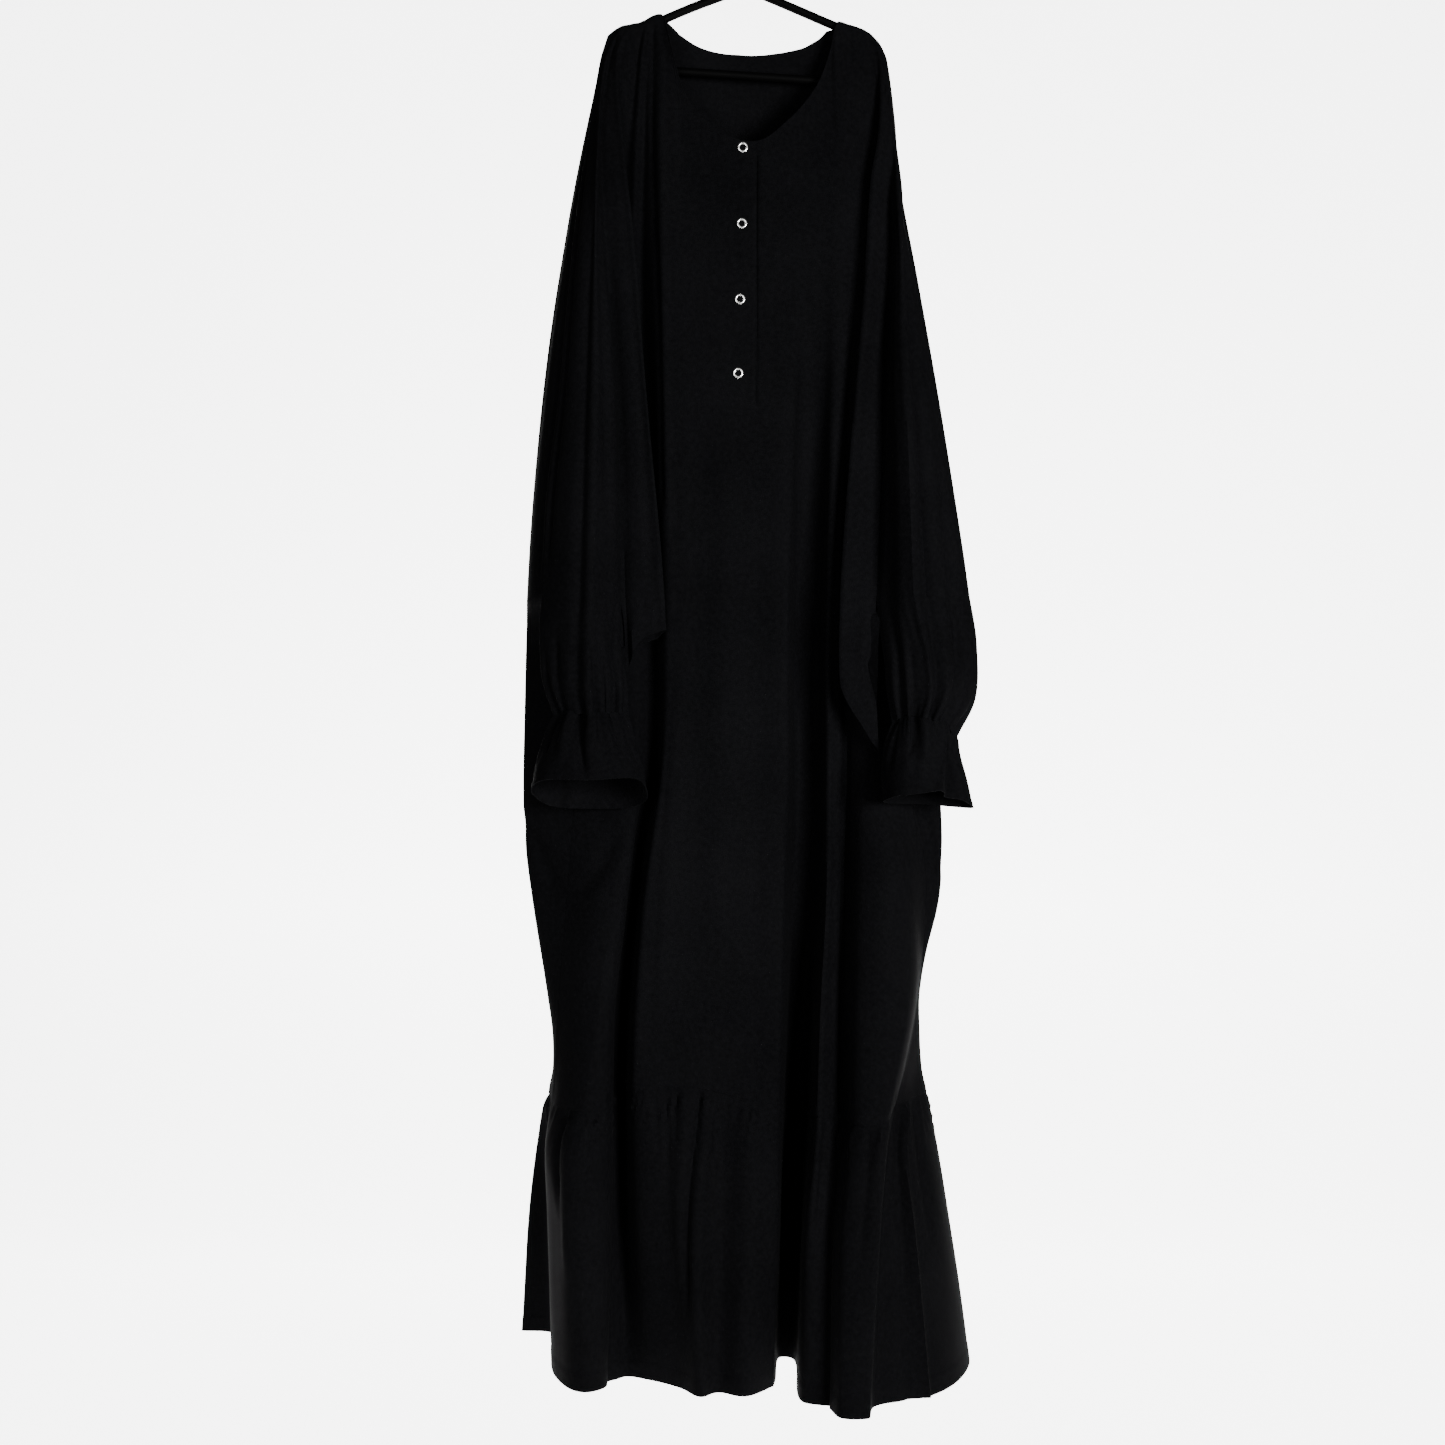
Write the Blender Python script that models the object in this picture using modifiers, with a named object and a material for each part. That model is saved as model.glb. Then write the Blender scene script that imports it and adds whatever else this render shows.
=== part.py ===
"""Long black abaya with batwing sleeves and a gathered hem flounce, hanging on a tubular hanger.

Left and right are as seen from the front. The origin is where a rail carries the hook, +Z is up
and the front faces -Y. Every cloth piece is an open sheet lofted through its fold lines, which the
Solidify modifier gives its thickness.
"""
import math
from collections import namedtuple

import bmesh
import bpy
from mathutils import Vector

# Driving sizes, metres
MM = 0.001
CLOTH = 1.8 * MM
SEAM = 0.3 * MM
FLARE_GAP = 1.0 * MM
ELASTIC_GAP = 1.2 * MM
COLUMN_STEPS = 2
FLOUNCE_STEPS = 3
PANEL_STEPS = 6
RING_STEPS = 6
RING_LEVELS = (0.0, 0.5)
GATHERS = 12
GATHER_DEPTH = 1.9 * MM
GATHER_FADE = 1.35
WIDEST_TURN = 2.2
MERGE = 0.02 * MM
TUBE_MERGE = 0.01 * MM
SNAP_SIDES = 14
SHOULDER_HALF = 1.15 * MM
ON_SHOULDER = 2
ARM_REACH = 141 * MM
ARM_ROUND = 7.2 * MM
ARM_DROP = 9.0
PLACKET_THICK = 1.2 * MM
SNAP_OUTER = 5.8 * MM
SNAP_INNER = 3.1 * MM
SNAP_HIGH = 1.5 * MM
SNAP_HEIGHTS = (-260, -343, -425, -505)
SNAP_ACROSS = (-5.0, -6.0, -8.0, -10.0)
PLACKET_LEFT = -22
PLACKET_RIGHT = 10
PLACKET_TOP = -254
PLACKET_BOTTOM = -538
PLACKET_LEAN = -2.0
PLACKET_LEVELS = 9
PLACKET_COLUMNS = 4
TUBE = 4.6 * MM
HOOK_WIRE = 3.6 * MM
HOOK_INNER = 17 * MM
HOOK_TURNS = 14
HOOK_START = -50.0
HOOK_END = 190.0

# Heights of the sections, millimetres below the rail
NECK_DROPS = (0, 4, 10, 22)
YOKE = -300
SLEEVE_SEAM = -750
UPPER_ROWS = (-300, -345, -400, -460, -530, -600, -675, -750)
LOWER_ROWS = (-800, -860, -925, -990, -1055, -1120, -1185, -1240, -1297)
FLOUNCE_ROWS = (-1297, -1322, -1350, -1395, -1450, -1525, -1601)
YOKE_STEPS = (0.34, 0.67)
LOBE_LEFT_STEPS = (0.5, 1.0)
LOBE_RIGHT_STEPS = (0.34, 0.67, 1.0)

Fold = namedtuple("Fold", "name rows")
# Each row of a fold: height z, across x, depth y, in millimetres.

SIDE_LEFT = Fold("side left", (
    (-114, -117, -1), (-157, -124, -7), (-266, -146, -11), (-338, -156, -13), (-531, -171, -15),
    (-750, -182, -16), (-924, -186, -19), (-1033, -193, -21), (-1142, -202, -20),
    (-1241, -209, -15), (-1297, -213, -8)))
SIDE_RIGHT = Fold("side right", (
    (-117.5, 124, -1), (-156, 135, -8), (-233, 152, -10), (-422, 161, -13), (-706, 169, -13),
    (-837, 173, -13), (-979, 181, -14), (-1039, 195, -6), (-1111, 195, 2), (-1189, 187, 4),
    (-1252, 174, -14), (-1297, 160, -30)))

BATWING_LEFT = (
    Fold("overarm", ((-128, -153, -1), (-155, -161, -3), (-234, -172, -15), (-343, -186, -30),
                     (-536, -202, -44), (-640, -214, -50), (-750, -220, -54))),
    Fold("sleeve crest", ((-121, -144, -1), (-157, -156, -7), (-240, -162, -33), (-350, -164, -56),
                          (-541, -165, -74), (-750, -168, -88))),
    Fold("groove", ((-117.5, -137, -1), (-157, -150, -8), (-238, -157, -26), (-345, -152, -38),
                    (-536, -138, -46), (-743, -133, -52), (-821, -131, -50))),
    Fold("nose", ((-116, -129, -1), (-157, -143, -8), (-266, -135, -28), (-344, -126, -36),
                  (-535, -110, -44), (-673, -98, -47), (-784, -90, -48))),
    Fold("under nose", ((-115.2, -126, -1), (-157, -139, -8), (-266, -137, -22), (-344, -130, -28),
                        (-535, -115, -36), (-673, -104, -39), (-788, -97, -41))),
    Fold("return", ((-114.5, -122, -1), (-157, -131, -8), (-266, -142, -17), (-344, -145, -23),
                    (-535, -148, -31), (-673, -148, -36), (-795, -146, -41))),
)
BODY_FRONT = (
    Fold("side panel left", ((-113, -114, -1), (-157, -121, -8), (-266, -134, -8),
                             (-338, -142, -9), (-531, -152, -12), (-706, -153, -16),
                             (-793, -154, -18), (-934, -155, -23), (-1000, -155, -30),
                             (-1074, -157, -44), (-1185, -168, -52), (-1297, -176, -60))),
    Fold("groove edge left", ((-110, -110, -1), (-157, -117, -8), (-337, -127, -9),
                              (-531, -132, -12), (-793, -122, -17), (-935, -121, -26),
                              (-1074, -134, -40), (-1186, -149, -46), (-1297, -152, -52))),
    Fold("valley left", ((-106.5, -104, -1), (-158, -109, -9), (-232, -112, -10), (-420, -114, -8),
                         (-705, -107, -6), (-935, -105, -5), (-1078, -123, 0), (-1193, -133, 5),
                         (-1297, -137, 8))),
    Fold("crest left", ((-104.5, -97, -1), (-159, -93, -11), (-237, -95, -22), (-425, -93, -30),
                        (-642, -90, -31), (-794, -88, -32), (-934, -92, -34), (-1075, -110, -37),
                        (-1186, -118, -40), (-1297, -122, -44))),
    Fold("neck turn left", ((-109, -92, -8.4), (-160, -84, -14), (-237, -83, -23),
                            (-425, -81, -31), (-794, -78, -33), (-1075, -96, -38),
                            (-1297, -106, -45))),
    Fold("panel 1", ((-195, -69, -20), (-425, -68, -31), (-794, -66, -34), (-1075, -80, -38),
                     (-1297, -88, -46))),
    Fold("panel 2", ((-230, -44, -26), (-425, -42, -31), (-794, -40, -34), (-1075, -48, -39),
                     (-1297, -55, -48))),
    Fold("panel 3", ((-249, -15, -29), (-425, -14, -32), (-794, -12, -34), (-1075, -18, -39),
                     (-1297, -25, -48))),
    Fold("panel 4", ((-252, 14, -30), (-425, 14, -32), (-794, 14, -34), (-1075, 10, -39),
                     (-1297, 4, -48))),
    Fold("crest middle", ((-231, 42, -27), (-425, 50, -31), (-588, 46, -32), (-794, 41, -33),
                          (-924, 41, -34), (-1075, 37, -36), (-1186, 35, -40), (-1297, 32, -44))),
    Fold("deep fold left", ((-213, 59, -24), (-425, 64, -28), (-586, 60, -16), (-792, 56, -4),
                            (-1079, 53, 8), (-1195, 50, 16), (-1297, 47, 22))),
    Fold("deep fold right", ((-188, 76, -19), (-425, 85, -28), (-586, 80, -16), (-792, 76, -3),
                             (-1079, 72, 9), (-1196, 67, 17), (-1297, 64, 23))),
    Fold("crest right", ((-150, 90, -10), (-300, 96, -25), (-425, 98, -29), (-587, 94, -28),
                         (-793, 88, -27), (-924, 88, -28), (-1075, 86, -33), (-1186, 80, -40),
                         (-1297, 76, -47))),
    Fold("neck turn right", ((-117, 98, -8.4), (-160, 98, -13), (-300, 104, -24),
                             (-425, 106, -27), (-793, 98, -24), (-924, 98, -23),
                             (-1077, 96, -25), (-1190, 92, -30), (-1297, 88, -38))),
    Fold("thin valley", ((-112.5, 103, -1), (-160, 106, -12), (-300, 111, -21), (-425, 112, -24),
                         (-793, 108, -19), (-924, 108, -17), (-1077, 105, -16), (-1190, 103, -18),
                         (-1297, 101, -26))),
    Fold("tube crest", ((-114, 110, -1), (-160, 118, -11), (-300, 126, -19), (-425, 128, -23),
                        (-793, 128, -29), (-924, 127, -34), (-1074, 124, -46), (-1184, 120, -56),
                        (-1297, 116, -64))),
    Fold("tube edge", ((-115.5, 117, -1), (-160, 128, -9), (-300, 143, -14), (-425, 147, -17),
                       (-706, 152, -19), (-793, 154, -20), (-923, 158, -25), (-985, 162, -33),
                       (-1041, 168, -48), (-1183, 168, -60), (-1297, 146, -68))),
)
BATWING_RIGHT = (
    Fold("return", ((-119, 128, -1), (-156, 139, -8), (-246, 150, -16), (-295, 150, -22),
                    (-414, 148, -28), (-536, 146, -34), (-674, 140, -39), (-794, 136, -44),
                    (-870, 138, -46))),
    Fold("under nose", ((-121, 131, -1), (-156, 143, -8), (-246, 147, -21), (-295, 141, -27),
                        (-414, 133, -34), (-536, 122, -38), (-674, 112, -42), (-794, 107, -45),
                        (-850, 107, -47))),
    Fold("nose", ((-123, 134, -1), (-156, 146, -8), (-246, 144, -28), (-295, 136, -34),
                  (-414, 128, -41), (-536, 117, -46), (-674, 106, -50), (-794, 100, -53),
                  (-846, 101, -54))),
    Fold("groove", ((-128, 139, -1), (-156, 149, -8), (-237, 157, -24), (-317, 156, -34),
                    (-415, 152, -42), (-536, 146, -48), (-743, 137, -54), (-812, 136, -56),
                    (-907, 140, -56))),
    Fold("sleeve crest", ((-134, 144, -1), (-156, 151.5, -6), (-261, 161, -28), (-349, 165, -50),
                          (-455, 168, -64), (-541, 171, -74), (-750, 178, -88))),
    Fold("overarm", ((-141, 148, -1), (-156, 153.5, -3), (-221, 161, -10), (-298, 166, -22),
                     (-400, 183, -34), (-536, 206, -42), (-685, 229, -48), (-750, 238, -50))),
)
BODY_BACK = (
    Fold("outline left", ((-124, -148, 1), (-153, -158, 6), (-227, -177, 8), (-340, -199, 7),
                          (-516, -224, 8), (-704, -240, 8), (-880, -245, 8), (-1002, -245, 6),
                          (-1079, -236, 6), (-1183, -220, 14), (-1247, -212, 25),
                          (-1297, -221, 38))),
    Fold("back wing left", ((-117, -137, 1), (-157, -147, 11), (-240, -160, 22), (-345, -172, 30),
                            (-536, -190, 40), (-750, -205, 48), (-1000, -212, 52),
                            (-1190, -192, 66), (-1297, -190, 84))),
    Fold("back groove left", ((-115, -124, 1), (-157, -128, 9), (-240, -132, 18), (-345, -140, 22),
                              (-536, -150, 30), (-750, -160, 34), (-1000, -165, 38),
                              (-1190, -158, 52), (-1297, -150, 64))),
    Fold("back crest left", ((-109, -108, 1), (-157, -108, 12), (-240, -108, 26),
                             (-345, -112, 36), (-536, -116, 50), (-750, -120, 60),
                             (-1000, -124, 68), (-1190, -118, 84), (-1297, -112, 94))),
    Fold("back neck left", ((-107.5, -91, 8.4), (-157, -88, 14), (-345, -85, 32), (-536, -82, 42),
                            (-750, -80, 48), (-1000, -80, 56), (-1190, -78, 74),
                            (-1297, -74, 84))),
    Fold("back ridge left", ((-134, -50, 13), (-240, -48, 24), (-345, -46, 34), (-750, -42, 58),
                             (-1000, -40, 66), (-1190, -38, 84), (-1297, -34, 98))),
    Fold("back middle", ((-142, -10, 18), (-240, -10, 24), (-345, -8, 29), (-750, -4, 46),
                         (-1000, -2, 52), (-1190, 0, 70), (-1297, 2, 84))),
    Fold("back ridge right", ((-138, 36, 16), (-240, 36, 26), (-345, 36, 35), (-750, 38, 60),
                              (-1000, 40, 68), (-1190, 40, 86), (-1297, 40, 98))),
    Fold("back neck right", ((-117, 97, 8.5), (-157, 89, 13), (-345, 84, 32), (-536, 82, 43),
                             (-750, 80, 49), (-1000, 80, 56), (-1190, 80, 73), (-1297, 80, 84))),
    Fold("back crest right", ((-112.8, 104, 1), (-157, 108, 12), (-240, 110, 26), (-345, 114, 36),
                              (-536, 118, 50), (-750, 120, 60), (-1000, 124, 66),
                              (-1190, 122, 84), (-1297, 118, 94))),
    Fold("back groove right", ((-118, 123, 1), (-157, 128, 9), (-345, 136, 22), (-536, 144, 30),
                               (-750, 150, 34), (-1000, 158, 40), (-1190, 156, 54),
                               (-1297, 154, 66))),
    Fold("back wing right", ((-125, 136, 1), (-157, 141, 10), (-345, 156, 27), (-536, 166, 37),
                             (-750, 182, 45), (-1000, 192, 50), (-1190, 178, 62),
                             (-1297, 182, 80))),
    Fold("outline right", ((-133, 143, 1), (-155, 150.5, 6), (-216, 159, 8), (-295, 164, 9),
                           (-416, 169, 10), (-526, 178, 10), (-748, 200, 10), (-913, 210, 8),
                           (-1023, 215, 6), (-1079, 211, 8), (-1137, 198, 14), (-1180, 192, 22),
                           (-1208, 192, 28), (-1268, 196, 40), (-1297, 202, 44))),
)

FLOUNCE_FRONT = (
    Fold("seam left", ((-1297, -213, -8), (-1345, -222, 8), (-1430, -222, 25), (-1601, -219, 57))),
    Fold("edge left", ((-1297, -203, -34), (-1345, -217, -22), (-1430, -211, -18),
                       (-1601, -208, -9))),
    Fold("lobe left", ((-1297, -176, -60), (-1345, -182, -66), (-1430, -188, -60),
                       (-1601, -184, -46))),
    Fold("groove edge", ((-1297, -152, -52), (-1430, -154, -52), (-1601, -160, -43))),
    Fold("valley", ((-1297, -137, 8), (-1345, -137, 6), (-1430, -137, 2), (-1601, -134, -4))),
    Fold("crest", ((-1297, -122, -44), (-1430, -118, -36), (-1601, -105, -15))),
    Fold("gather 1", ((-1297, -88, -46), (-1345, -86, -54), (-1430, -84, -50), (-1601, -72, -39))),
    Fold("long fold", ((-1297, -55, -48), (-1345, -52, -58), (-1430, -58, -63),
                       (-1601, -50, -65))),
    Fold("gather 2", ((-1297, -25, -48), (-1345, -26, -46), (-1430, -28, -50), (-1601, -30, -54))),
    Fold("middle", ((-1297, 4, -48), (-1345, 4, -54), (-1430, 2, -56), (-1601, -3, -60))),
    Fold("edge middle", ((-1297, 32, -44), (-1430, 30, -42), (-1601, 26, -32))),
    Fold("deep left", ((-1297, 47, 22), (-1430, 42, 38), (-1601, 38, 58))),
    Fold("deep right", ((-1297, 64, 23), (-1430, 58, 36), (-1601, 52, 54))),
    Fold("second crest", ((-1297, 76, -47), (-1345, 72, -58), (-1430, 64, -64), (-1601, 58, -78))),
    Fold("shelf", ((-1297, 101, -26), (-1345, 94, -44), (-1430, 88, -62), (-1601, 82, -92))),
    Fold("near crest", ((-1297, 116, -64), (-1345, 110, -76), (-1430, 102, -94),
                        (-1601, 96, -124))),
    Fold("near edge", ((-1297, 146, -68), (-1345, 141, -82), (-1430, 134, -98),
                       (-1601, 122, -124))),
    Fold("seam right", ((-1297, 160, -30), (-1345, 151, -42), (-1430, 142, -62),
                        (-1601, 132, -92))),
)
FLOUNCE_BACK = (
    Fold("inner left", ((-1297, -217, 8), (-1345, -220, 36), (-1430, -214, 68),
                        (-1601, -206, 116))),
    Fold("strip left", ((-1297, -219, 24), (-1345, -226, 56), (-1430, -230, 92),
                        (-1601, -234, 143))),
    Fold("outline left", ((-1297, -221, 38), (-1327, -232, 62), (-1423, -247, 94),
                          (-1554, -260, 136), (-1601, -264, 148))),
    Fold("wing left", ((-1297, -190, 84), (-1430, -214, 124), (-1601, -234, 178))),
    Fold("groove left", ((-1297, -150, 64), (-1430, -172, 98), (-1601, -190, 142))),
    Fold("crest left", ((-1297, -112, 94), (-1430, -128, 130), (-1601, -144, 172))),
    Fold("groove 2", ((-1297, -74, 84), (-1430, -86, 108), (-1601, -96, 138))),
    Fold("ridge left", ((-1297, -34, 98), (-1430, -40, 132), (-1601, -46, 168))),
    Fold("middle", ((-1297, 2, 84), (-1430, 2, 108), (-1601, 2, 136))),
    Fold("ridge right", ((-1297, 40, 98), (-1430, 46, 130), (-1601, 52, 164))),
    Fold("groove 3", ((-1297, 80, 84), (-1430, 90, 108), (-1601, 100, 134))),
    Fold("crest right", ((-1297, 118, 94), (-1430, 134, 124), (-1601, 150, 158))),
    Fold("groove right", ((-1297, 154, 66), (-1430, 174, 86), (-1601, 192, 112))),
    Fold("wing right", ((-1297, 182, 80), (-1430, 208, 98), (-1601, 234, 116))),
    Fold("outline right", ((-1297, 202, 44), (-1370, 216, 46), (-1432, 226, 48), (-1508, 238, 52),
                           (-1601, 251, 57))),
    Fold("face right", ((-1297, 187, 12), (-1345, 196, 0), (-1430, 212, -8), (-1601, 227, -22))),
    Fold("ridge", ((-1297, 171, -16), (-1345, 168, -34), (-1430, 176, -48), (-1601, 190, -64))),
)

# Rows of each ring: name, then height z, across x and depth y at every named place round it.
Ring = namedtuple("Ring", "inner front_in front front_out outer back_out back back_in")

SLEEVE_LEFT = (
    Ring((-753.6, -140, -60), (-750.8, -151, -74), (-750.8, -168, -88), (-750.8, -196, -75),
         (-752.6, -217, -58), (-772, -203, -48), (-797, -178, -34), (-775, -154, -46)),
    Ring((-800, -136, -66), (-796, -149, -82), (-796, -169, -94), (-796, -197, -82),
         (-796, -220, -64), (-800, -206, -50), (-812, -178, -40), (-806, -150, -50)),
    Ring((-840, -130, -70), (-840, -142, -88), (-840, -168, -99), (-840, -196, -88),
         (-840, -216, -68), (-840, -200, -52), (-842, -168, -46), (-842, -140, -52)),
    Ring((-874, -130, -64), (-874, -143, -79), (-874, -166, -86), (-874, -190, -79),
         (-874, -204, -64), (-874, -192, -52), (-874, -167, -48), (-874, -142, -52)),
)
CUFF_LEFT = (
    Ring((-874.3, -130, -64), (-874.3, -143, -79), (-874.3, -166, -86), (-874.3, -190, -79),
         (-874.3, -204, -64), (-874.3, -192, -52), (-874.3, -167, -48), (-874.3, -142, -52)),
    Ring((-900, -121, -68), (-898, -136, -88), (-897, -166, -97), (-898, -198, -88),
         (-901, -216, -66), (-903, -200, -50), (-904, -168, -44), (-903, -136, -50)),
    Ring((-930, -112, -72), (-922, -127, -98), (-920, -166, -107), (-922, -204, -97),
         (-931, -225, -68), (-938, -208, -48), (-940, -170, -40), (-939, -130, -47)),
    Ring((-962, -108, -76), (-948, -121, -107), (-943, -165, -116), (-945, -208, -104),
         (-958, -230, -71), (-972, -213, -49), (-976, -171, -42), (-974, -126, -49)),
)
SLEEVE_RIGHT = (
    Ring((-753.8, 143, -64), (-751, 158, -78), (-751, 178, -88), (-751, 214, -70),
         (-752.8, 234, -54), (-768, 215, -46), (-797, 176, -32), (-775, 156, -48)),
    Ring((-810, 142, -68), (-800, 158, -86), (-800, 184, -96), (-800, 222, -78),
         (-800, 242, -60), (-806, 222, -48), (-814, 180, -40), (-814, 154, -52)),
    Ring((-852, 144, -68), (-850, 160, -88), (-850, 188, -98), (-850, 222, -84),
         (-856, 240, -62), (-856, 222, -48), (-856, 188, -42), (-854, 156, -50)),
    Ring((-882, 151, -66), (-878, 164, -80), (-877, 184, -88), (-886, 206, -80),
         (-897, 220, -64), (-895, 208, -51), (-890, 186, -46), (-884, 163, -52)),
)
CUFF_RIGHT = (
    Ring((-882.3, 151, -66), (-878.3, 164, -80), (-877.3, 184, -88), (-886.3, 206, -80),
         (-897.3, 220, -64), (-895.3, 208, -51), (-890.3, 186, -46), (-884.3, 163, -52)),
    Ring((-906, 146, -68), (-900, 161, -88), (-899, 186, -96), (-905, 208, -84),
         (-917, 224, -64), (-920, 210, -48), (-916, 186, -42), (-908, 160, -48)),
    Ring((-938, 144, -70), (-928, 158, -96), (-926, 184, -103), (-930, 206, -94),
         (-943, 232, -64), (-948, 218, -50), (-948, 188, -45), (-942, 156, -50)),
    Ring((-968, 143, -74), (-955, 156, -103), (-952, 178, -110), (-953, 202, -102),
         (-974, 240, -62), (-978, 226, -51), (-978, 190, -46), (-974, 156, -51)),
)

BLACK_CLOTH = (0.004, 0.004, 0.005)
BLACK_PLASTIC = (0.006, 0.006, 0.006)
SILVER = (0.62, 0.62, 0.60)


def clear_scene():
    """Remove everything that the file opened with."""
    for old in list(bpy.data.objects):
        bpy.data.objects.remove(old, do_unlink=True)


def new_collection(name):
    """Return a collection of that name, linked to the scene."""
    group = bpy.data.collections.new(name)
    bpy.context.scene.collection.children.link(group)
    return group


def new_material(name, colour, roughness, metallic):
    """Return a Principled material."""
    material = bpy.data.materials.new(name)
    material.use_nodes = True
    shader = material.node_tree.nodes["Principled BSDF"]
    shader.inputs["Base Color"].default_value = (*colour, 1.0)
    shader.inputs["Roughness"].default_value = roughness
    shader.inputs["Metallic"].default_value = metallic
    return material


def add_object(name, mesh, material, group):
    """Link a mesh as an object of the given name and finish."""
    mesh.materials.append(material)
    made = bpy.data.objects.new(name, mesh)
    group.objects.link(made)
    return made


def knots(points, power=0.5):
    """Return centripetal spline knots for a run of points."""
    values = [0.0]
    for first, second in zip(points, points[1:]):
        values.append(values[-1] + max((second - first).length, 1e-6) ** power)
    return values


def spline_point(points, values, index, t):
    """Return a point of the centripetal Catmull-Rom span from index to index + 1."""
    p1, p2 = points[index], points[index + 1]
    p0 = points[index - 1] if index > 0 else p1 * 2 - p2
    p3 = points[index + 2] if index + 2 < len(points) else p2 * 2 - p1
    t1, t2 = values[index], values[index + 1]
    t0 = values[index - 1] if index > 0 else t1 - (t2 - t1)
    t3 = values[index + 2] if index + 2 < len(points) else t2 + (t2 - t1)
    u = t1 + (t2 - t1) * t
    a1 = p0 * ((t1 - u) / (t1 - t0)) + p1 * ((u - t0) / (t1 - t0))
    a2 = p1 * ((t2 - u) / (t2 - t1)) + p2 * ((u - t1) / (t2 - t1))
    a3 = p2 * ((t3 - u) / (t3 - t2)) + p3 * ((u - t2) / (t3 - t2))
    b1 = a1 * ((t2 - u) / (t2 - t0)) + a2 * ((u - t0) / (t2 - t0))
    b2 = a2 * ((t3 - u) / (t3 - t1)) + a3 * ((u - t1) / (t3 - t1))
    return b1 * ((t2 - u) / (t2 - t1)) + b2 * ((u - t1) / (t2 - t1))


def smooth_run(points, steps, closed=False):
    """Return points along a spline, with steps points to each span."""
    if closed:
        points = points[-2:] + points + points[:2]
    values = knots(points)
    first = 2 if closed else 0
    last = len(points) - (2 if closed else 1)
    run = [spline_point(points, values, index, step / steps)
           for index in range(first, last) for step in range(steps)]
    if not closed:
        run.append(points[-1].copy())
    return run


def fold_at(fold, height):
    """Return the fold line's point at a height in millimetres, in metres."""
    rows = fold.rows
    if height >= rows[0][0]:
        z, x, y = rows[0]
        return Vector((x, y, z)) * MM
    points = [Vector((x, y, 0.0)) for z, x, y in rows]
    for index in range(len(rows) - 1):
        z1, z2 = rows[index][0], rows[index + 1][0]
        if height >= z2:
            t = (z1 - height) / (z1 - z2)
            before = slope(rows, points, index)
            after = slope(rows, points, index + 1)
            span = z1 - z2
            point = hermite(points[index], before * span, points[index + 1], after * span, t)
            return Vector((point.x, point.y, height)) * MM
    z, x, y = rows[-1]
    return Vector((x, y, z)) * MM


def slope(rows, points, index):
    """Return the fold line's change across and in depth for each millimetre down."""
    low = max(index - 1, 0)
    high = min(index + 1, len(rows) - 1)
    return (points[high] - points[low]) / (rows[low][0] - rows[high][0])


def hermite(start, start_slope, end, end_slope, t):
    """Return a point of a cubic Hermite span."""
    t2, t3 = t * t, t * t * t
    return (start * (2 * t3 - 3 * t2 + 1) + start_slope * (t3 - 2 * t2 + t)
            + end * (3 * t2 - 2 * t3) + end_slope * (t3 - t2))


def shoulder_row(folds, drop, side):
    """Return each fold's point a little below its top edge, rounded over the hanger's arm."""
    points = []
    for fold in folds:
        point = fold_at(fold, fold.rows[0][0] - drop)
        if abs(fold.rows[0][2]) <= ON_SHOULDER:
            depth = SHOULDER_HALF
            if abs(fold.rows[0][1]) * MM < ARM_REACH:
                rise = 1.0 - min(drop / ARM_DROP, 1.0)
                depth += ARM_ROUND * math.sqrt(1.0 - rise * rise)
            point.y = side * max(side * point.y, depth)
        points.append(point)
    return points


def yoke_row(folds, part):
    """Return a row part of the way from the shoulders to the first straight row."""
    row = []
    for fold in folds:
        top = fold.rows[0][0] - NECK_DROPS[-1]
        row.append(fold_at(fold, top + (YOKE - top) * part))
    return row


def body_rows(steps):
    """Return the front's and the back's rows above the sleeve seam, then those below it."""
    above = (*BATWING_LEFT, SIDE_LEFT, *BODY_FRONT, SIDE_RIGHT, *BATWING_RIGHT)
    below = (SIDE_LEFT, *BODY_FRONT, SIDE_RIGHT)
    back_edges = (above[0], *BODY_BACK, above[-1])
    front_upper = [smooth_run(shoulder_row(above, drop, -1), steps) for drop in NECK_DROPS]
    back_all = [smooth_run(shoulder_row(back_edges, drop, 1), steps) for drop in NECK_DROPS]
    for part in YOKE_STEPS:
        front_run, back_run = split_loop(yoke_row(above, part), yoke_row(BODY_BACK, part), steps)
        front_upper.append(front_run)
        back_all.append(back_run)
    for height in UPPER_ROWS:
        front_run, back_run = split_loop([fold_at(fold, height) for fold in above],
                                         [fold_at(fold, height) for fold in BODY_BACK], steps)
        front_upper.append(front_run)
        back_all.append(back_run)
    front_lower = []
    for height in LOWER_ROWS:
        front_run, back_run = split_loop([fold_at(fold, height) for fold in below],
                                         [fold_at(fold, height) for fold in BODY_BACK], steps)
        front_lower.append(front_run)
        back_all.append(back_run)
    return front_upper, front_lower, back_all


def lobe_rows(folds, fractions):
    """Return rows that run from the sleeve seam's height down to each fold's own end."""
    rows = []
    for part in fractions:
        row = []
        for fold in folds:
            end = SLEEVE_SEAM if fold.name == "return" else fold.rows[-1][0]
            row.append(fold_at(fold, SLEEVE_SEAM + (end - SLEEVE_SEAM) * part))
        rows.append(row)
    return rows


def seam_trim(run, before, after):
    """Shorten a run at both ends, so that its wall stays a seam's gap from its neighbours'."""
    for end, inner, other in ((0, 1, before), (-1, -2, after)):
        inward = (run[inner] - run[end]).normalized()
        turn = inward.angle((run[end] - other).normalized())
        run[end] = run[end] + inward * (SEAM / 2 + CLOTH / 2 * math.tan(min(turn, WIDEST_TURN) / 2))
    return run


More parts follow.
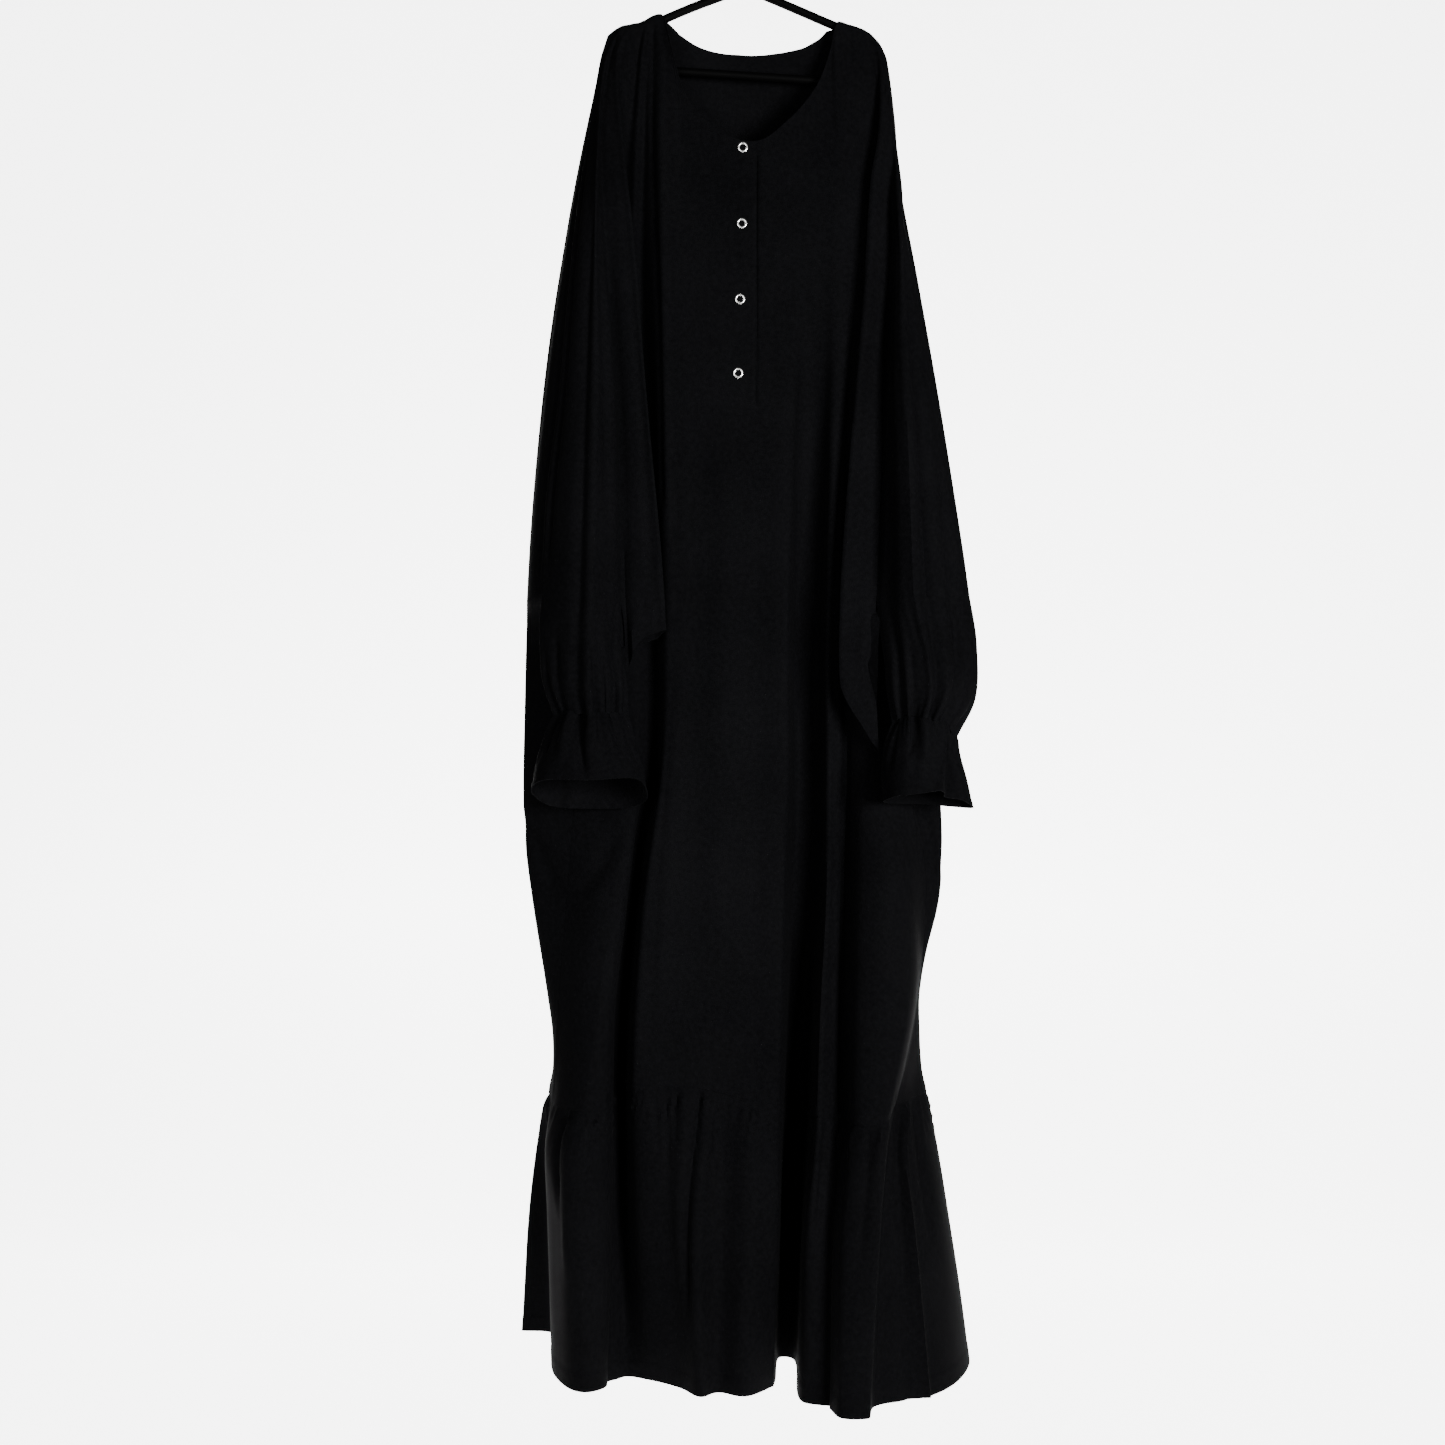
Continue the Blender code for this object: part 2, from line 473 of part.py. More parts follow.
def split_loop(front, back, steps):
    """Return the front's and the back's runs of one closed section, parted at their seams."""
    loop = smooth_run(front + back[::-1], steps, closed=True)
    parting = (len(front) - 1) * steps
    front_run = loop[:parting + 1]
    back_run = [point.copy() for point in (loop[parting:] + loop[:1])[::-1]]
    ends = back_run[1].copy(), back_run[-2].copy()
    other_ends = front_run[1].copy(), front_run[-2].copy()
    return seam_trim(front_run, *ends), seam_trim(back_run, *other_ends)


def sheet_mesh(name, blocks):
    """Return a mesh of open sheets, each a list of rows of points, merged where they meet."""
    shape = bmesh.new()
    for rows in blocks:
        grid = [[shape.verts.new(point) for point in row] for row in rows]
        for upper, lower in zip(grid, grid[1:]):
            for index in range(len(upper) - 1):
                shape.faces.new((upper[index], lower[index], lower[index + 1], upper[index + 1]))
    bmesh.ops.remove_doubles(shape, verts=shape.verts[:], dist=MERGE)
    bmesh.ops.dissolve_degenerate(shape, edges=shape.edges[:], dist=MERGE)
    mesh = bpy.data.meshes.new(name)
    shape.to_mesh(mesh)
    shape.free()
    mesh.shade_smooth()
    return mesh


def add_cloth(name, blocks, thickness, material, group):
    """Add a sheet of cloth with a real thickness."""
    made = add_object(name, sheet_mesh(name, blocks), material, group)
    wall = made.modifiers.new("Wall", "SOLIDIFY")
    wall.thickness = thickness
    wall.offset = 0.0
    wall.use_even_offset = False
    return made


def front_blocks(upper, lower, steps):
    """Return the front's blocks: the upper part, the body below it and the two underarm lobes."""
    left = len(BATWING_LEFT)
    count = left + len(BODY_FRONT) + len(BATWING_RIGHT) + 2
    right = count - 1 - len(BATWING_RIGHT)
    first = upper[-1][left * steps:right * steps + 1]
    first[0], first[-1] = first[1], first[-2]
    lower.insert(0, first)
    under_left = [smooth_run(row, steps) for row in lobe_rows(BATWING_LEFT[2:], LOBE_LEFT_STEPS)]
    under_left.insert(0, upper[-1][2 * steps:(left - 1) * steps + 1])
    under_right = [smooth_run(row, steps)
                   for row in lobe_rows(BATWING_RIGHT[:4], LOBE_RIGHT_STEPS)]
    under_right.insert(0, upper[-1][(right + 1) * steps:(right + 4) * steps + 1])
    return [upper, lower, under_left, under_right]


def flounce_rows(steps):
    """Return the rows of the front and back flounce, just below the seam of the body."""
    front_rows, back_rows = [], []
    for height in FLOUNCE_ROWS:
        front_run, back_run = split_loop([fold_at(fold, height) for fold in FLOUNCE_FRONT],
                                         [fold_at(fold, height) for fold in FLOUNCE_BACK], steps)
        if height == FLOUNCE_ROWS[0]:
            for point in front_run + back_run:
                point.z -= FLARE_GAP
        front_rows.append(front_run)
        back_rows.append(back_run)
    return front_rows, back_rows


def ring_rows(rings, steps, gathers, depth, at_top):
    """Return closed rows of a tube, with gathers that fade away from its elastic."""
    middle_run = []
    for ring in rings:
        points = [Vector((x, y, z)) * MM for z, x, y in ring]
        middle_run.append(smooth_run(points, steps, closed=True))
    dense = []
    columns = len(middle_run[0])
    for index in range(len(middle_run) - 1):
        for part in RING_LEVELS:
            dense.append([column_point(middle_run, column, index, part)
                          for column in range(columns)])
    dense.append(middle_run[-1])
    count = len(dense) - 1
    for level, row in enumerate(dense):
        away = level / count if at_top else 1.0 - level / count
        strength = depth * max(0.0, 1.0 - away * GATHER_FADE)
        centre = sum(row, Vector()) / columns
        waved = []
        for column, point in enumerate(row):
            out = Vector((point.x - centre.x, point.y - centre.y, 0.0)).normalized()
            waved.append(point + out * strength * math.cos(gathers * 2 * math.pi * column / columns))
        row[:] = waved
        row.append(row[0].copy())
    if at_top:
        for point in dense[0]:
            point.z -= ELASTIC_GAP
    return dense


def column_point(rows, column, index, t):
    """Return a point between two rings on one column, on a smooth line down the tube."""
    points = [row[column] for row in rows]
    return spline_point(points, knots(points), index, t)


def front_depth(height, across):
    """Return the front panel's depth at a height and a place across, in millimetres."""
    points = [fold_at(fold, height) for fold in BODY_FRONT[5:10]]
    run = smooth_run(points, PANEL_STEPS)
    for first, second in zip(run, run[1:]):
        if first.x <= across * MM <= second.x:
            t = (across * MM - first.x) / (second.x - first.x)
            return (first.y + (second.y - first.y) * t) / MM
    return points[0].y / MM


def placket_point(height, across):
    """Return a point of the placket's middle surface, just in front of the panel."""
    depth = front_depth(height, across) * MM - CLOTH / 2 - SEAM - PLACKET_THICK / 2
    return Vector((across * MM, depth, height * MM))


def placket_rows():
    """Return the placket's rows from the neck down."""
    width = PLACKET_RIGHT - PLACKET_LEFT
    rows = []
    for level in range(PLACKET_LEVELS + 1):
        part = level / PLACKET_LEVELS
        height = PLACKET_TOP + (PLACKET_BOTTOM - PLACKET_TOP) * part
        left = PLACKET_LEFT + PLACKET_LEAN * part
        rows.append([placket_point(height, left + width * column / PLACKET_COLUMNS)
                     for column in range(PLACKET_COLUMNS + 1)])
    return rows


def add_snap(name, height, across, material, group):
    """Add one ring snap, a turned ring with a rounded face, on the placket."""
    ring = bmesh.new()
    middle = (SNAP_OUTER + SNAP_INNER) / 2
    half = (SNAP_OUTER - SNAP_INNER) / 2
    profile = [(middle + half, 0.0), (middle + half, 0.5), (middle + half * 0.55, 1.0),
               (middle - half * 0.55, 1.0), (middle - half, 0.5), (middle - half, 0.0)]
    base = placket_point(height, across).y - PLACKET_THICK / 2 - SEAM
    loops = []
    for segment in range(SNAP_SIDES):
        turn = 2 * math.pi * segment / SNAP_SIDES
        loops.append([ring.verts.new((across * MM + radius * math.cos(turn),
                                      base - rise * SNAP_HIGH,
                                      height * MM + radius * math.sin(turn)))
                      for radius, rise in profile])
    for index, loop in enumerate(loops):
        following = loops[(index + 1) % SNAP_SIDES]
        for corner in range(len(profile)):
            nearby = (corner + 1) % len(profile)
            ring.faces.new((loop[corner], loop[nearby], following[nearby], following[corner]))
    bmesh.ops.recalc_face_normals(ring, faces=ring.faces[:])
    mesh = bpy.data.meshes.new(name)
    ring.to_mesh(mesh)
    ring.free()
    mesh.shade_smooth()
    return add_object(name, mesh, material, group)


def tube_object(name, points, radius, closed, group):
    """Return a mesh of a round tube along points, with welded caps."""
    curve = bpy.data.curves.new(name, "CURVE")
    curve.dimensions = "3D"
    curve.bevel_depth = radius
    curve.bevel_resolution = 2
    curve.use_fill_caps = not closed
    spline = curve.splines.new("POLY")
    spline.points.add(len(points) - 1)
    for spot, point in zip(spline.points, points):
        spot.co = (*point, 1.0)
    spline.use_cyclic_u = closed
    holder = bpy.data.objects.new(name + " curve", curve)
    group.objects.link(holder)
    shape = holder.evaluated_get(bpy.context.evaluated_depsgraph_get())
    mesh = bpy.data.meshes.new_from_object(shape)
    bpy.data.objects.remove(holder, do_unlink=True)
    tidy = bmesh.new()
    tidy.from_mesh(mesh)
    bmesh.ops.remove_doubles(tidy, verts=tidy.verts[:], dist=TUBE_MERGE)
    bmesh.ops.recalc_face_normals(tidy, faces=tidy.faces[:])
    tidy.to_mesh(mesh)
    tidy.free()
    mesh.name = name
    return mesh


def hanger_path():
    """Return the closed path of the hanger's arms and lower bar."""
    corners = [(-3, -76), (-28, -84.5), (-60, -96.5), (-90, -109.2), (-100, -114),
               (-112, -118.6), (-128, -123.6), (-137, -129.5), (-141, -140), (-138, -152),
               (-128, -160.5), (-108, -164.5), (-60, -168), (0, -172), (60, -176), (96, -179),
               (121, -179.5), (133, -171), (137, -158), (136, -145), (130, -134.5),
               (119, -126.5), (104, -120), (86, -112.5), (56, -99.5), (24, -86)]
    points = [Vector((x * MM, 0.0, z * MM)) for x, z in corners]
    return smooth_run(points, 2, closed=True)


def hook_path():
    """Return the hook's path from the top of the arms round to its tip."""
    radius = HOOK_INNER + HOOK_WIRE
    centre = Vector((0.0, 0.0, -HOOK_INNER))
    stem = [Vector((-3 * MM, 0.0, -77 * MM)), Vector((-2 * MM, 0.0, -62 * MM)),
            Vector((1 * MM, 0.0, -50 * MM)), Vector((9 * MM, 0.0, -39.5 * MM))]
    arc = []
    for step in range(HOOK_TURNS + 1):
        turn = math.radians(HOOK_START + (HOOK_END - HOOK_START) * step / HOOK_TURNS)
        arc.append(centre + Vector((math.cos(turn), 0.0, math.sin(turn))) * radius)
    return stem + arc


def add_hanger(material, group, cutters):
    """Add the hanger, one moulded piece of arms, lower bar and hook."""
    frame = tube_object("hanger", hanger_path(), TUBE, True, group)
    made = add_object("hanger", frame, material, group)
    hook = tube_object("hook", hook_path(), HOOK_WIRE, False, group)
    cutter = add_object("hook", hook, material, cutters)
    cutter.hide_render = True
    cutter.display_type = "WIRE"
    union = made.modifiers.new("Hook", "BOOLEAN")
    union.operation = "UNION"
    union.object = cutter
    return made


def build():
    """Build every piece of the abaya and its hanger."""
    clear_scene()
    group = new_collection("abaya")
    cutters = new_collection("cutters")
    cloth = new_material("black crepe", BLACK_CLOTH, 0.85, 0.0)
    plastic = new_material("black plastic", BLACK_PLASTIC, 0.45, 0.0)
    silver = new_material("silver metal", SILVER, 0.25, 1.0)
    upper, lower, back = body_rows(COLUMN_STEPS)
    add_cloth("front", front_blocks(upper, lower, COLUMN_STEPS), CLOTH, cloth, group)
    add_cloth("back", [back], CLOTH, cloth, group)
    flounce_front, flounce_back = flounce_rows(FLOUNCE_STEPS)
    add_cloth("flounce_front", [flounce_front], CLOTH, cloth, group)
    add_cloth("flounce_back", [flounce_back], CLOTH, cloth, group)
    for name, rings, at_top in (("sleeve_left", SLEEVE_LEFT, False),
                                ("cuff_left", CUFF_LEFT, True),
                                ("sleeve_right", SLEEVE_RIGHT, False),
                                ("cuff_right", CUFF_RIGHT, True)):
        rows = ring_rows(rings, RING_STEPS, GATHERS, GATHER_DEPTH, at_top)
        add_cloth(name, [rows], CLOTH, cloth, group)
    add_cloth("placket", [placket_rows()], PLACKET_THICK, cloth, group)
    for number, (height, across) in enumerate(zip(SNAP_HEIGHTS, SNAP_ACROSS), start=1):
        add_snap(f"snap_{number}", height, across, silver, group)
    add_hanger(plastic, group, cutters)


build()
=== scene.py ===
"""Dresses the long black abaya on its hanger: crepe cloth, gathers, stitches, ring snaps, studio."""
import logging
import math
from dataclasses import dataclass, field
from enum import Enum

import bpy
import numpy as np
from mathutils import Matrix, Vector, noise


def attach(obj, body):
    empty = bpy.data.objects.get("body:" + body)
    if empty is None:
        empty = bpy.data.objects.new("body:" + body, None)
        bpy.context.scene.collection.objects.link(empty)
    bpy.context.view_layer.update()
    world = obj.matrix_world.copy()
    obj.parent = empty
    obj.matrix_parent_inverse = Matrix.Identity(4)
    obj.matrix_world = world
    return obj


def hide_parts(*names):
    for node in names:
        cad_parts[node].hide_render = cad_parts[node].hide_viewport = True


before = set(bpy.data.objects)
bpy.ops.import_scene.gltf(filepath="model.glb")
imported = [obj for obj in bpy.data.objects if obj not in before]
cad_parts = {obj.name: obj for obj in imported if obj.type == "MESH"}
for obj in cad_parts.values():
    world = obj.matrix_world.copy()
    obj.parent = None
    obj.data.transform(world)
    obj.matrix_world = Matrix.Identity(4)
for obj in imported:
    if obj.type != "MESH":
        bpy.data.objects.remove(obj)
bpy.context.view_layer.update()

LOG = logging.getLogger("abaya")
MM = 0.001
BODY = "root"

# Heights that several sheets share, in millimetres from the rail
YOKE = -300.0
SLEEVE_SEAM = -750.0
FLOUNCE_SEAM = -1297.0
HEM = -1601.0
# How far below a fold's upper end its rows lie close together, over the shoulder
NECK_DROP = 22.0
# How far the hanger's arms reach to each side
ARM_REACH = 141.0
# Sharper turns than these keep a crisp edge when a piece is shaded smooth
CRISP_TURN = math.radians(50.0)
CRISP_PLASTIC_TURN = math.radians(40.0)


class Hold(Enum):
    """How a sheet of cloth is held, in the words that the frame knows."""

    HUNG = "hung"
    GATHERED = "gathered"


class Slot(Enum):
    """The record's material slots."""

    CLOTH = "cloth"
    SNAP = "snap_metal"
    HANGER = "hanger_plastic"


@dataclass(frozen=True)
class Fold:
    """A fold line down the cloth. Each row is a height, a place across and a depth, in millimetres."""

    name: str
    rows: tuple[tuple[float, float, float], ...]

    @property
    def top(self) -> float:
        """Return the height of the fold's upper end."""
        return self.rows[0][0]

    def at(self, heights: np.ndarray) -> np.ndarray:
        """Follow the fold line with a smooth curve.

        Args:
            heights: Heights in millimetres, one for each row of the sheet.

        Returns:
            One point in millimetres for each height.
        """
        table = np.array(self.rows, float)
        count = len(table)
        low = np.maximum(np.arange(count) - 1, 0)
        high = np.minimum(np.arange(count) + 1, count - 1)
        slopes = (table[high, 1:] - table[low, 1:]) / (table[low, 0] - table[high, 0])[:, None]
        wanted = np.clip(heights, table[-1, 0], table[0, 0])
        index = np.clip(np.searchsorted(-table[:, 0], -wanted) - 1, 0, count - 2)
        span = table[index, 0] - table[index + 1, 0]
        t = ((table[index, 0] - wanted) / span)[:, None]
        start, end = table[index, 1:], table[index + 1, 1:]
        before, after = slopes[index] * span[:, None], slopes[index + 1] * span[:, None]
        flat = (start * (2 * t ** 3 - 3 * t ** 2 + 1) + before * (t ** 3 - 2 * t ** 2 + t)
                + end * (3 * t ** 2 - 2 * t ** 3) + after * (t ** 3 - t ** 2))
        return np.column_stack([flat, wanted])


SIDE_LEFT = Fold("side left", (
    (-114, -117, -1), (-157, -124, -7), (-266, -146, -11), (-338, -156, -13), (-531, -171, -15),
    (-750, -182, -16), (-924, -186, -19), (-1033, -193, -21), (-1142, -202, -20),
    (-1241, -209, -15), (-1297, -213, -8)))
SIDE_RIGHT = Fold("side right", (
    (-117.5, 124, -1), (-156, 135, -8), (-233, 152, -10), (-422, 161, -13), (-706, 169, -13),
    (-837, 173, -13), (-979, 181, -14), (-1039, 195, -6), (-1111, 195, 2), (-1189, 187, 4),
    (-1252, 174, -14), (-1297, 160, -30)))
BATWING_LEFT = (
    Fold("overarm", ((-128, -153, -1), (-155, -161, -3), (-234, -172, -15), (-343, -186, -30),
                     (-536, -202, -44), (-640, -214, -50), (-750, -220, -54))),
    Fold("sleeve crest", ((-121, -144, -1), (-157, -156, -7), (-240, -162, -33), (-350, -164, -56),
                          (-541, -165, -74), (-750, -168, -88))),
    Fold("groove", ((-117.5, -137, -1), (-157, -150, -8), (-238, -157, -26), (-345, -152, -38),
                    (-536, -138, -46), (-743, -133, -52), (-821, -131, -50))),
    Fold("nose", ((-116, -129, -1), (-157, -143, -8), (-266, -135, -28), (-344, -126, -36),
                  (-535, -110, -44), (-673, -98, -47), (-784, -90, -48))),
    Fold("under nose", ((-115.2, -126, -1), (-157, -139, -8), (-266, -137, -22), (-344, -130, -28),
                        (-535, -115, -36), (-673, -104, -39), (-788, -97, -41))),
    Fold("return", ((-114.5, -122, -1), (-157, -131, -8), (-266, -142, -17), (-344, -145, -23),
                    (-535, -148, -31), (-673, -148, -36), (-795, -146, -41))),
)
BODY_FRONT = (
    Fold("side panel left", ((-113, -114, -1), (-157, -121, -8), (-266, -134, -8),
                             (-338, -142, -9), (-531, -152, -12), (-706, -153, -16),
                             (-793, -154, -18), (-934, -155, -23), (-1000, -155, -30),
                             (-1074, -157, -44), (-1185, -168, -52), (-1297, -176, -60))),
    Fold("groove edge left", ((-110, -110, -1), (-157, -117, -8), (-337, -127, -9),
                              (-531, -132, -12), (-793, -122, -17), (-935, -121, -26),
                              (-1074, -134, -40), (-1186, -149, -46), (-1297, -152, -52))),
    Fold("valley left", ((-106.5, -104, -1), (-158, -109, -9), (-232, -112, -10), (-420, -114, -8),
                         (-705, -107, -6), (-935, -105, -5), (-1078, -123, 0), (-1193, -133, 5),
                         (-1297, -137, 8))),
    Fold("crest left", ((-104.5, -97, -1), (-159, -93, -11), (-237, -95, -22), (-425, -93, -30),
                        (-642, -90, -31), (-794, -88, -32), (-934, -92, -34), (-1075, -110, -37),
                        (-1186, -118, -40), (-1297, -122, -44))),
    Fold("neck turn left", ((-109, -92, -8.4), (-160, -84, -14), (-237, -83, -23),
                            (-425, -81, -31), (-794, -78, -33), (-1075, -96, -38),
                            (-1297, -106, -45))),
    Fold("panel 1", ((-195, -69, -20), (-425, -68, -31), (-794, -66, -34), (-1075, -80, -38),
                     (-1297, -88, -46))),
    Fold("panel 2", ((-230, -44, -26), (-425, -42, -31), (-794, -40, -34), (-1075, -48, -39),
                     (-1297, -55, -48))),
    Fold("panel 3", ((-249, -15, -29), (-425, -14, -32), (-794, -12, -34), (-1075, -18, -39),
                     (-1297, -25, -48))),
    Fold("panel 4", ((-252, 14, -30), (-425, 14, -32), (-794, 14, -34), (-1075, 10, -39),
                     (-1297, 4, -48))),
    Fold("crest middle", ((-231, 42, -27), (-425, 50, -31), (-588, 46, -32), (-794, 41, -33),
                          (-924, 41, -34), (-1075, 37, -36), (-1186, 35, -40), (-1297, 32, -44))),
    Fold("deep fold left", ((-213, 59, -24), (-425, 64, -28), (-586, 60, -16), (-792, 56, -4),
                            (-1079, 53, 8), (-1195, 50, 16), (-1297, 47, 22))),
    Fold("deep fold right", ((-188, 76, -19), (-425, 85, -28), (-586, 80, -16), (-792, 76, -3),
                             (-1079, 72, 9), (-1196, 67, 17), (-1297, 64, 23))),
    Fold("crest right", ((-150, 90, -10), (-300, 96, -25), (-425, 98, -29), (-587, 94, -28),
                         (-793, 88, -27), (-924, 88, -28), (-1075, 86, -33), (-1186, 80, -40),
                         (-1297, 76, -47))),
    Fold("neck turn right", ((-117, 98, -8.4), (-160, 98, -13), (-300, 104, -24),
                             (-425, 106, -27), (-793, 98, -24), (-924, 98, -23),
                             (-1077, 96, -25), (-1190, 92, -30), (-1297, 88, -38))),
    Fold("thin valley", ((-112.5, 103, -1), (-160, 106, -12), (-300, 111, -21), (-425, 112, -24),
                         (-793, 108, -19), (-924, 108, -17), (-1077, 105, -16), (-1190, 103, -18),
                         (-1297, 101, -26))),
    Fold("tube crest", ((-114, 110, -1), (-160, 118, -11), (-300, 126, -19), (-425, 128, -23),
                        (-793, 128, -29), (-924, 127, -34), (-1074, 124, -46), (-1184, 120, -56),
                        (-1297, 116, -64))),
    Fold("tube edge", ((-115.5, 117, -1), (-160, 128, -9), (-300, 143, -14), (-425, 147, -17),
                       (-706, 152, -19), (-793, 154, -20), (-923, 158, -25), (-985, 162, -33),
                       (-1041, 168, -48), (-1183, 168, -60), (-1297, 146, -68))),
)
BATWING_RIGHT = (
    Fold("return", ((-119, 128, -1), (-156, 139, -8), (-246, 150, -16), (-295, 150, -22),
                    (-414, 148, -28), (-536, 146, -34), (-674, 140, -39), (-794, 136, -44),
                    (-870, 138, -46))),
    Fold("under nose", ((-121, 131, -1), (-156, 143, -8), (-246, 147, -21), (-295, 141, -27),
                        (-414, 133, -34), (-536, 122, -38), (-674, 112, -42), (-794, 107, -45),
                        (-850, 107, -47))),
    Fold("nose", ((-123, 134, -1), (-156, 146, -8), (-246, 144, -28), (-295, 136, -34),
                  (-414, 128, -41), (-536, 117, -46), (-674, 106, -50), (-794, 100, -53),
                  (-846, 101, -54))),
    Fold("groove", ((-128, 139, -1), (-156, 149, -8), (-237, 157, -24), (-317, 156, -34),
                    (-415, 152, -42), (-536, 146, -48), (-743, 137, -54), (-812, 136, -56),
                    (-907, 140, -56))),
    Fold("sleeve crest", ((-134, 144, -1), (-156, 151.5, -6), (-261, 161, -28), (-349, 165, -50),
                          (-455, 168, -64), (-541, 171, -74), (-750, 178, -88))),
    Fold("overarm", ((-141, 148, -1), (-156, 153.5, -3), (-221, 161, -10), (-298, 166, -22),
                     (-400, 183, -34), (-536, 206, -42), (-685, 229, -48), (-750, 238, -50))),
)
BODY_BACK = (
    Fold("outline left", ((-124, -148, 1), (-153, -158, 6), (-227, -177, 8), (-340, -199, 7),
                          (-516, -224, 8), (-704, -240, 8), (-880, -245, 8), (-1002, -245, 6),
                          (-1079, -236, 6), (-1183, -220, 14), (-1247, -212, 25),
                          (-1297, -221, 38))),
    Fold("back wing left", ((-117, -137, 1), (-157, -147, 11), (-240, -160, 22), (-345, -172, 30),
                            (-536, -190, 40), (-750, -205, 48), (-1000, -212, 52),
                            (-1190, -192, 66), (-1297, -190, 84))),
    Fold("back groove left", ((-115, -124, 1), (-157, -128, 9), (-240, -132, 18), (-345, -140, 22),
                              (-536, -150, 30), (-750, -160, 34), (-1000, -165, 38),
                              (-1190, -158, 52), (-1297, -150, 64))),
    Fold("back crest left", ((-109, -108, 1), (-157, -108, 12), (-240, -108, 26),
                             (-345, -112, 36), (-536, -116, 50), (-750, -120, 60),
                             (-1000, -124, 68), (-1190, -118, 84), (-1297, -112, 94))),
    Fold("back neck left", ((-107.5, -91, 8.4), (-157, -88, 14), (-345, -85, 32), (-536, -82, 42),
                            (-750, -80, 48), (-1000, -80, 56), (-1190, -78, 74),
                            (-1297, -74, 84))),
    Fold("back ridge left", ((-134, -50, 13), (-240, -48, 24), (-345, -46, 34), (-750, -42, 58),
                             (-1000, -40, 66), (-1190, -38, 84), (-1297, -34, 98))),
    Fold("back middle", ((-142, -10, 18), (-240, -10, 24), (-345, -8, 29), (-750, -4, 46),
                         (-1000, -2, 52), (-1190, 0, 70), (-1297, 2, 84))),
    Fold("back ridge right", ((-138, 36, 16), (-240, 36, 26), (-345, 36, 35), (-750, 38, 60),
                              (-1000, 40, 68), (-1190, 40, 86), (-1297, 40, 98))),
    Fold("back neck right", ((-117, 97, 8.5), (-157, 89, 13), (-345, 84, 32), (-536, 82, 43),
                             (-750, 80, 49), (-1000, 80, 56), (-1190, 80, 73), (-1297, 80, 84))),
    Fold("back crest right", ((-112.8, 104, 1), (-157, 108, 12), (-240, 110, 26), (-345, 114, 36),
                              (-536, 118, 50), (-750, 120, 60), (-1000, 124, 66),
                              (-1190, 122, 84), (-1297, 118, 94))),
    Fold("back groove right", ((-118, 123, 1), (-157, 128, 9), (-345, 136, 22), (-536, 144, 30),
                               (-750, 150, 34), (-1000, 158, 40), (-1190, 156, 54),
                               (-1297, 154, 66))),
    Fold("back wing right", ((-125, 136, 1), (-157, 141, 10), (-345, 156, 27), (-536, 166, 37),
                             (-750, 182, 45), (-1000, 192, 50), (-1190, 178, 62),
                             (-1297, 182, 80))),
    Fold("outline right", ((-133, 143, 1), (-155, 150.5, 6), (-216, 159, 8), (-295, 164, 9),
                           (-416, 169, 10), (-526, 178, 10), (-748, 200, 10), (-913, 210, 8),
                           (-1023, 215, 6), (-1079, 211, 8), (-1137, 198, 14), (-1180, 192, 22),
                           (-1208, 192, 28), (-1268, 196, 40), (-1297, 202, 44))),
)
FLOUNCE_FRONT = (
    Fold("seam left", ((-1297, -213, -8), (-1345, -222, 8), (-1430, -222, 25), (-1601, -219, 57))),
    Fold("edge left", ((-1297, -203, -34), (-1345, -217, -22), (-1430, -211, -18),
                       (-1601, -208, -9))),
    Fold("lobe left", ((-1297, -176, -60), (-1345, -182, -66), (-1430, -188, -60),
                       (-1601, -184, -46))),
    Fold("groove edge", ((-1297, -152, -52), (-1430, -154, -52), (-1601, -160, -43))),
    Fold("valley", ((-1297, -137, 8), (-1345, -137, 6), (-1430, -137, 2), (-1601, -134, -4))),
    Fold("crest", ((-1297, -122, -44), (-1430, -118, -36), (-1601, -105, -15))),
    Fold("gather 1", ((-1297, -88, -46), (-1345, -86, -54), (-1430, -84, -50), (-1601, -72, -39))),
    Fold("long fold", ((-1297, -55, -48), (-1345, -52, -58), (-1430, -58, -63),
                       (-1601, -50, -65))),
    Fold("gather 2", ((-1297, -25, -48), (-1345, -26, -46), (-1430, -28, -50), (-1601, -30, -54))),
    Fold("middle", ((-1297, 4, -48), (-1345, 4, -54), (-1430, 2, -56), (-1601, -3, -60))),
    Fold("edge middle", ((-1297, 32, -44), (-1430, 30, -42), (-1601, 26, -32))),
    Fold("deep left", ((-1297, 47, 22), (-1430, 42, 38), (-1601, 38, 58))),
    Fold("deep right", ((-1297, 64, 23), (-1430, 58, 36), (-1601, 52, 54))),
    Fold("second crest", ((-1297, 76, -47), (-1345, 72, -58), (-1430, 64, -64), (-1601, 58, -78))),
    Fold("shelf", ((-1297, 101, -26), (-1345, 94, -44), (-1430, 88, -62), (-1601, 82, -92))),
    Fold("near crest", ((-1297, 116, -64), (-1345, 110, -76), (-1430, 102, -94),
                        (-1601, 96, -124))),
    Fold("near edge", ((-1297, 146, -68), (-1345, 141, -82), (-1430, 134, -98),
                       (-1601, 122, -124))),
    Fold("seam right", ((-1297, 160, -30), (-1345, 151, -42), (-1430, 142, -62),
                        (-1601, 132, -92))),
)
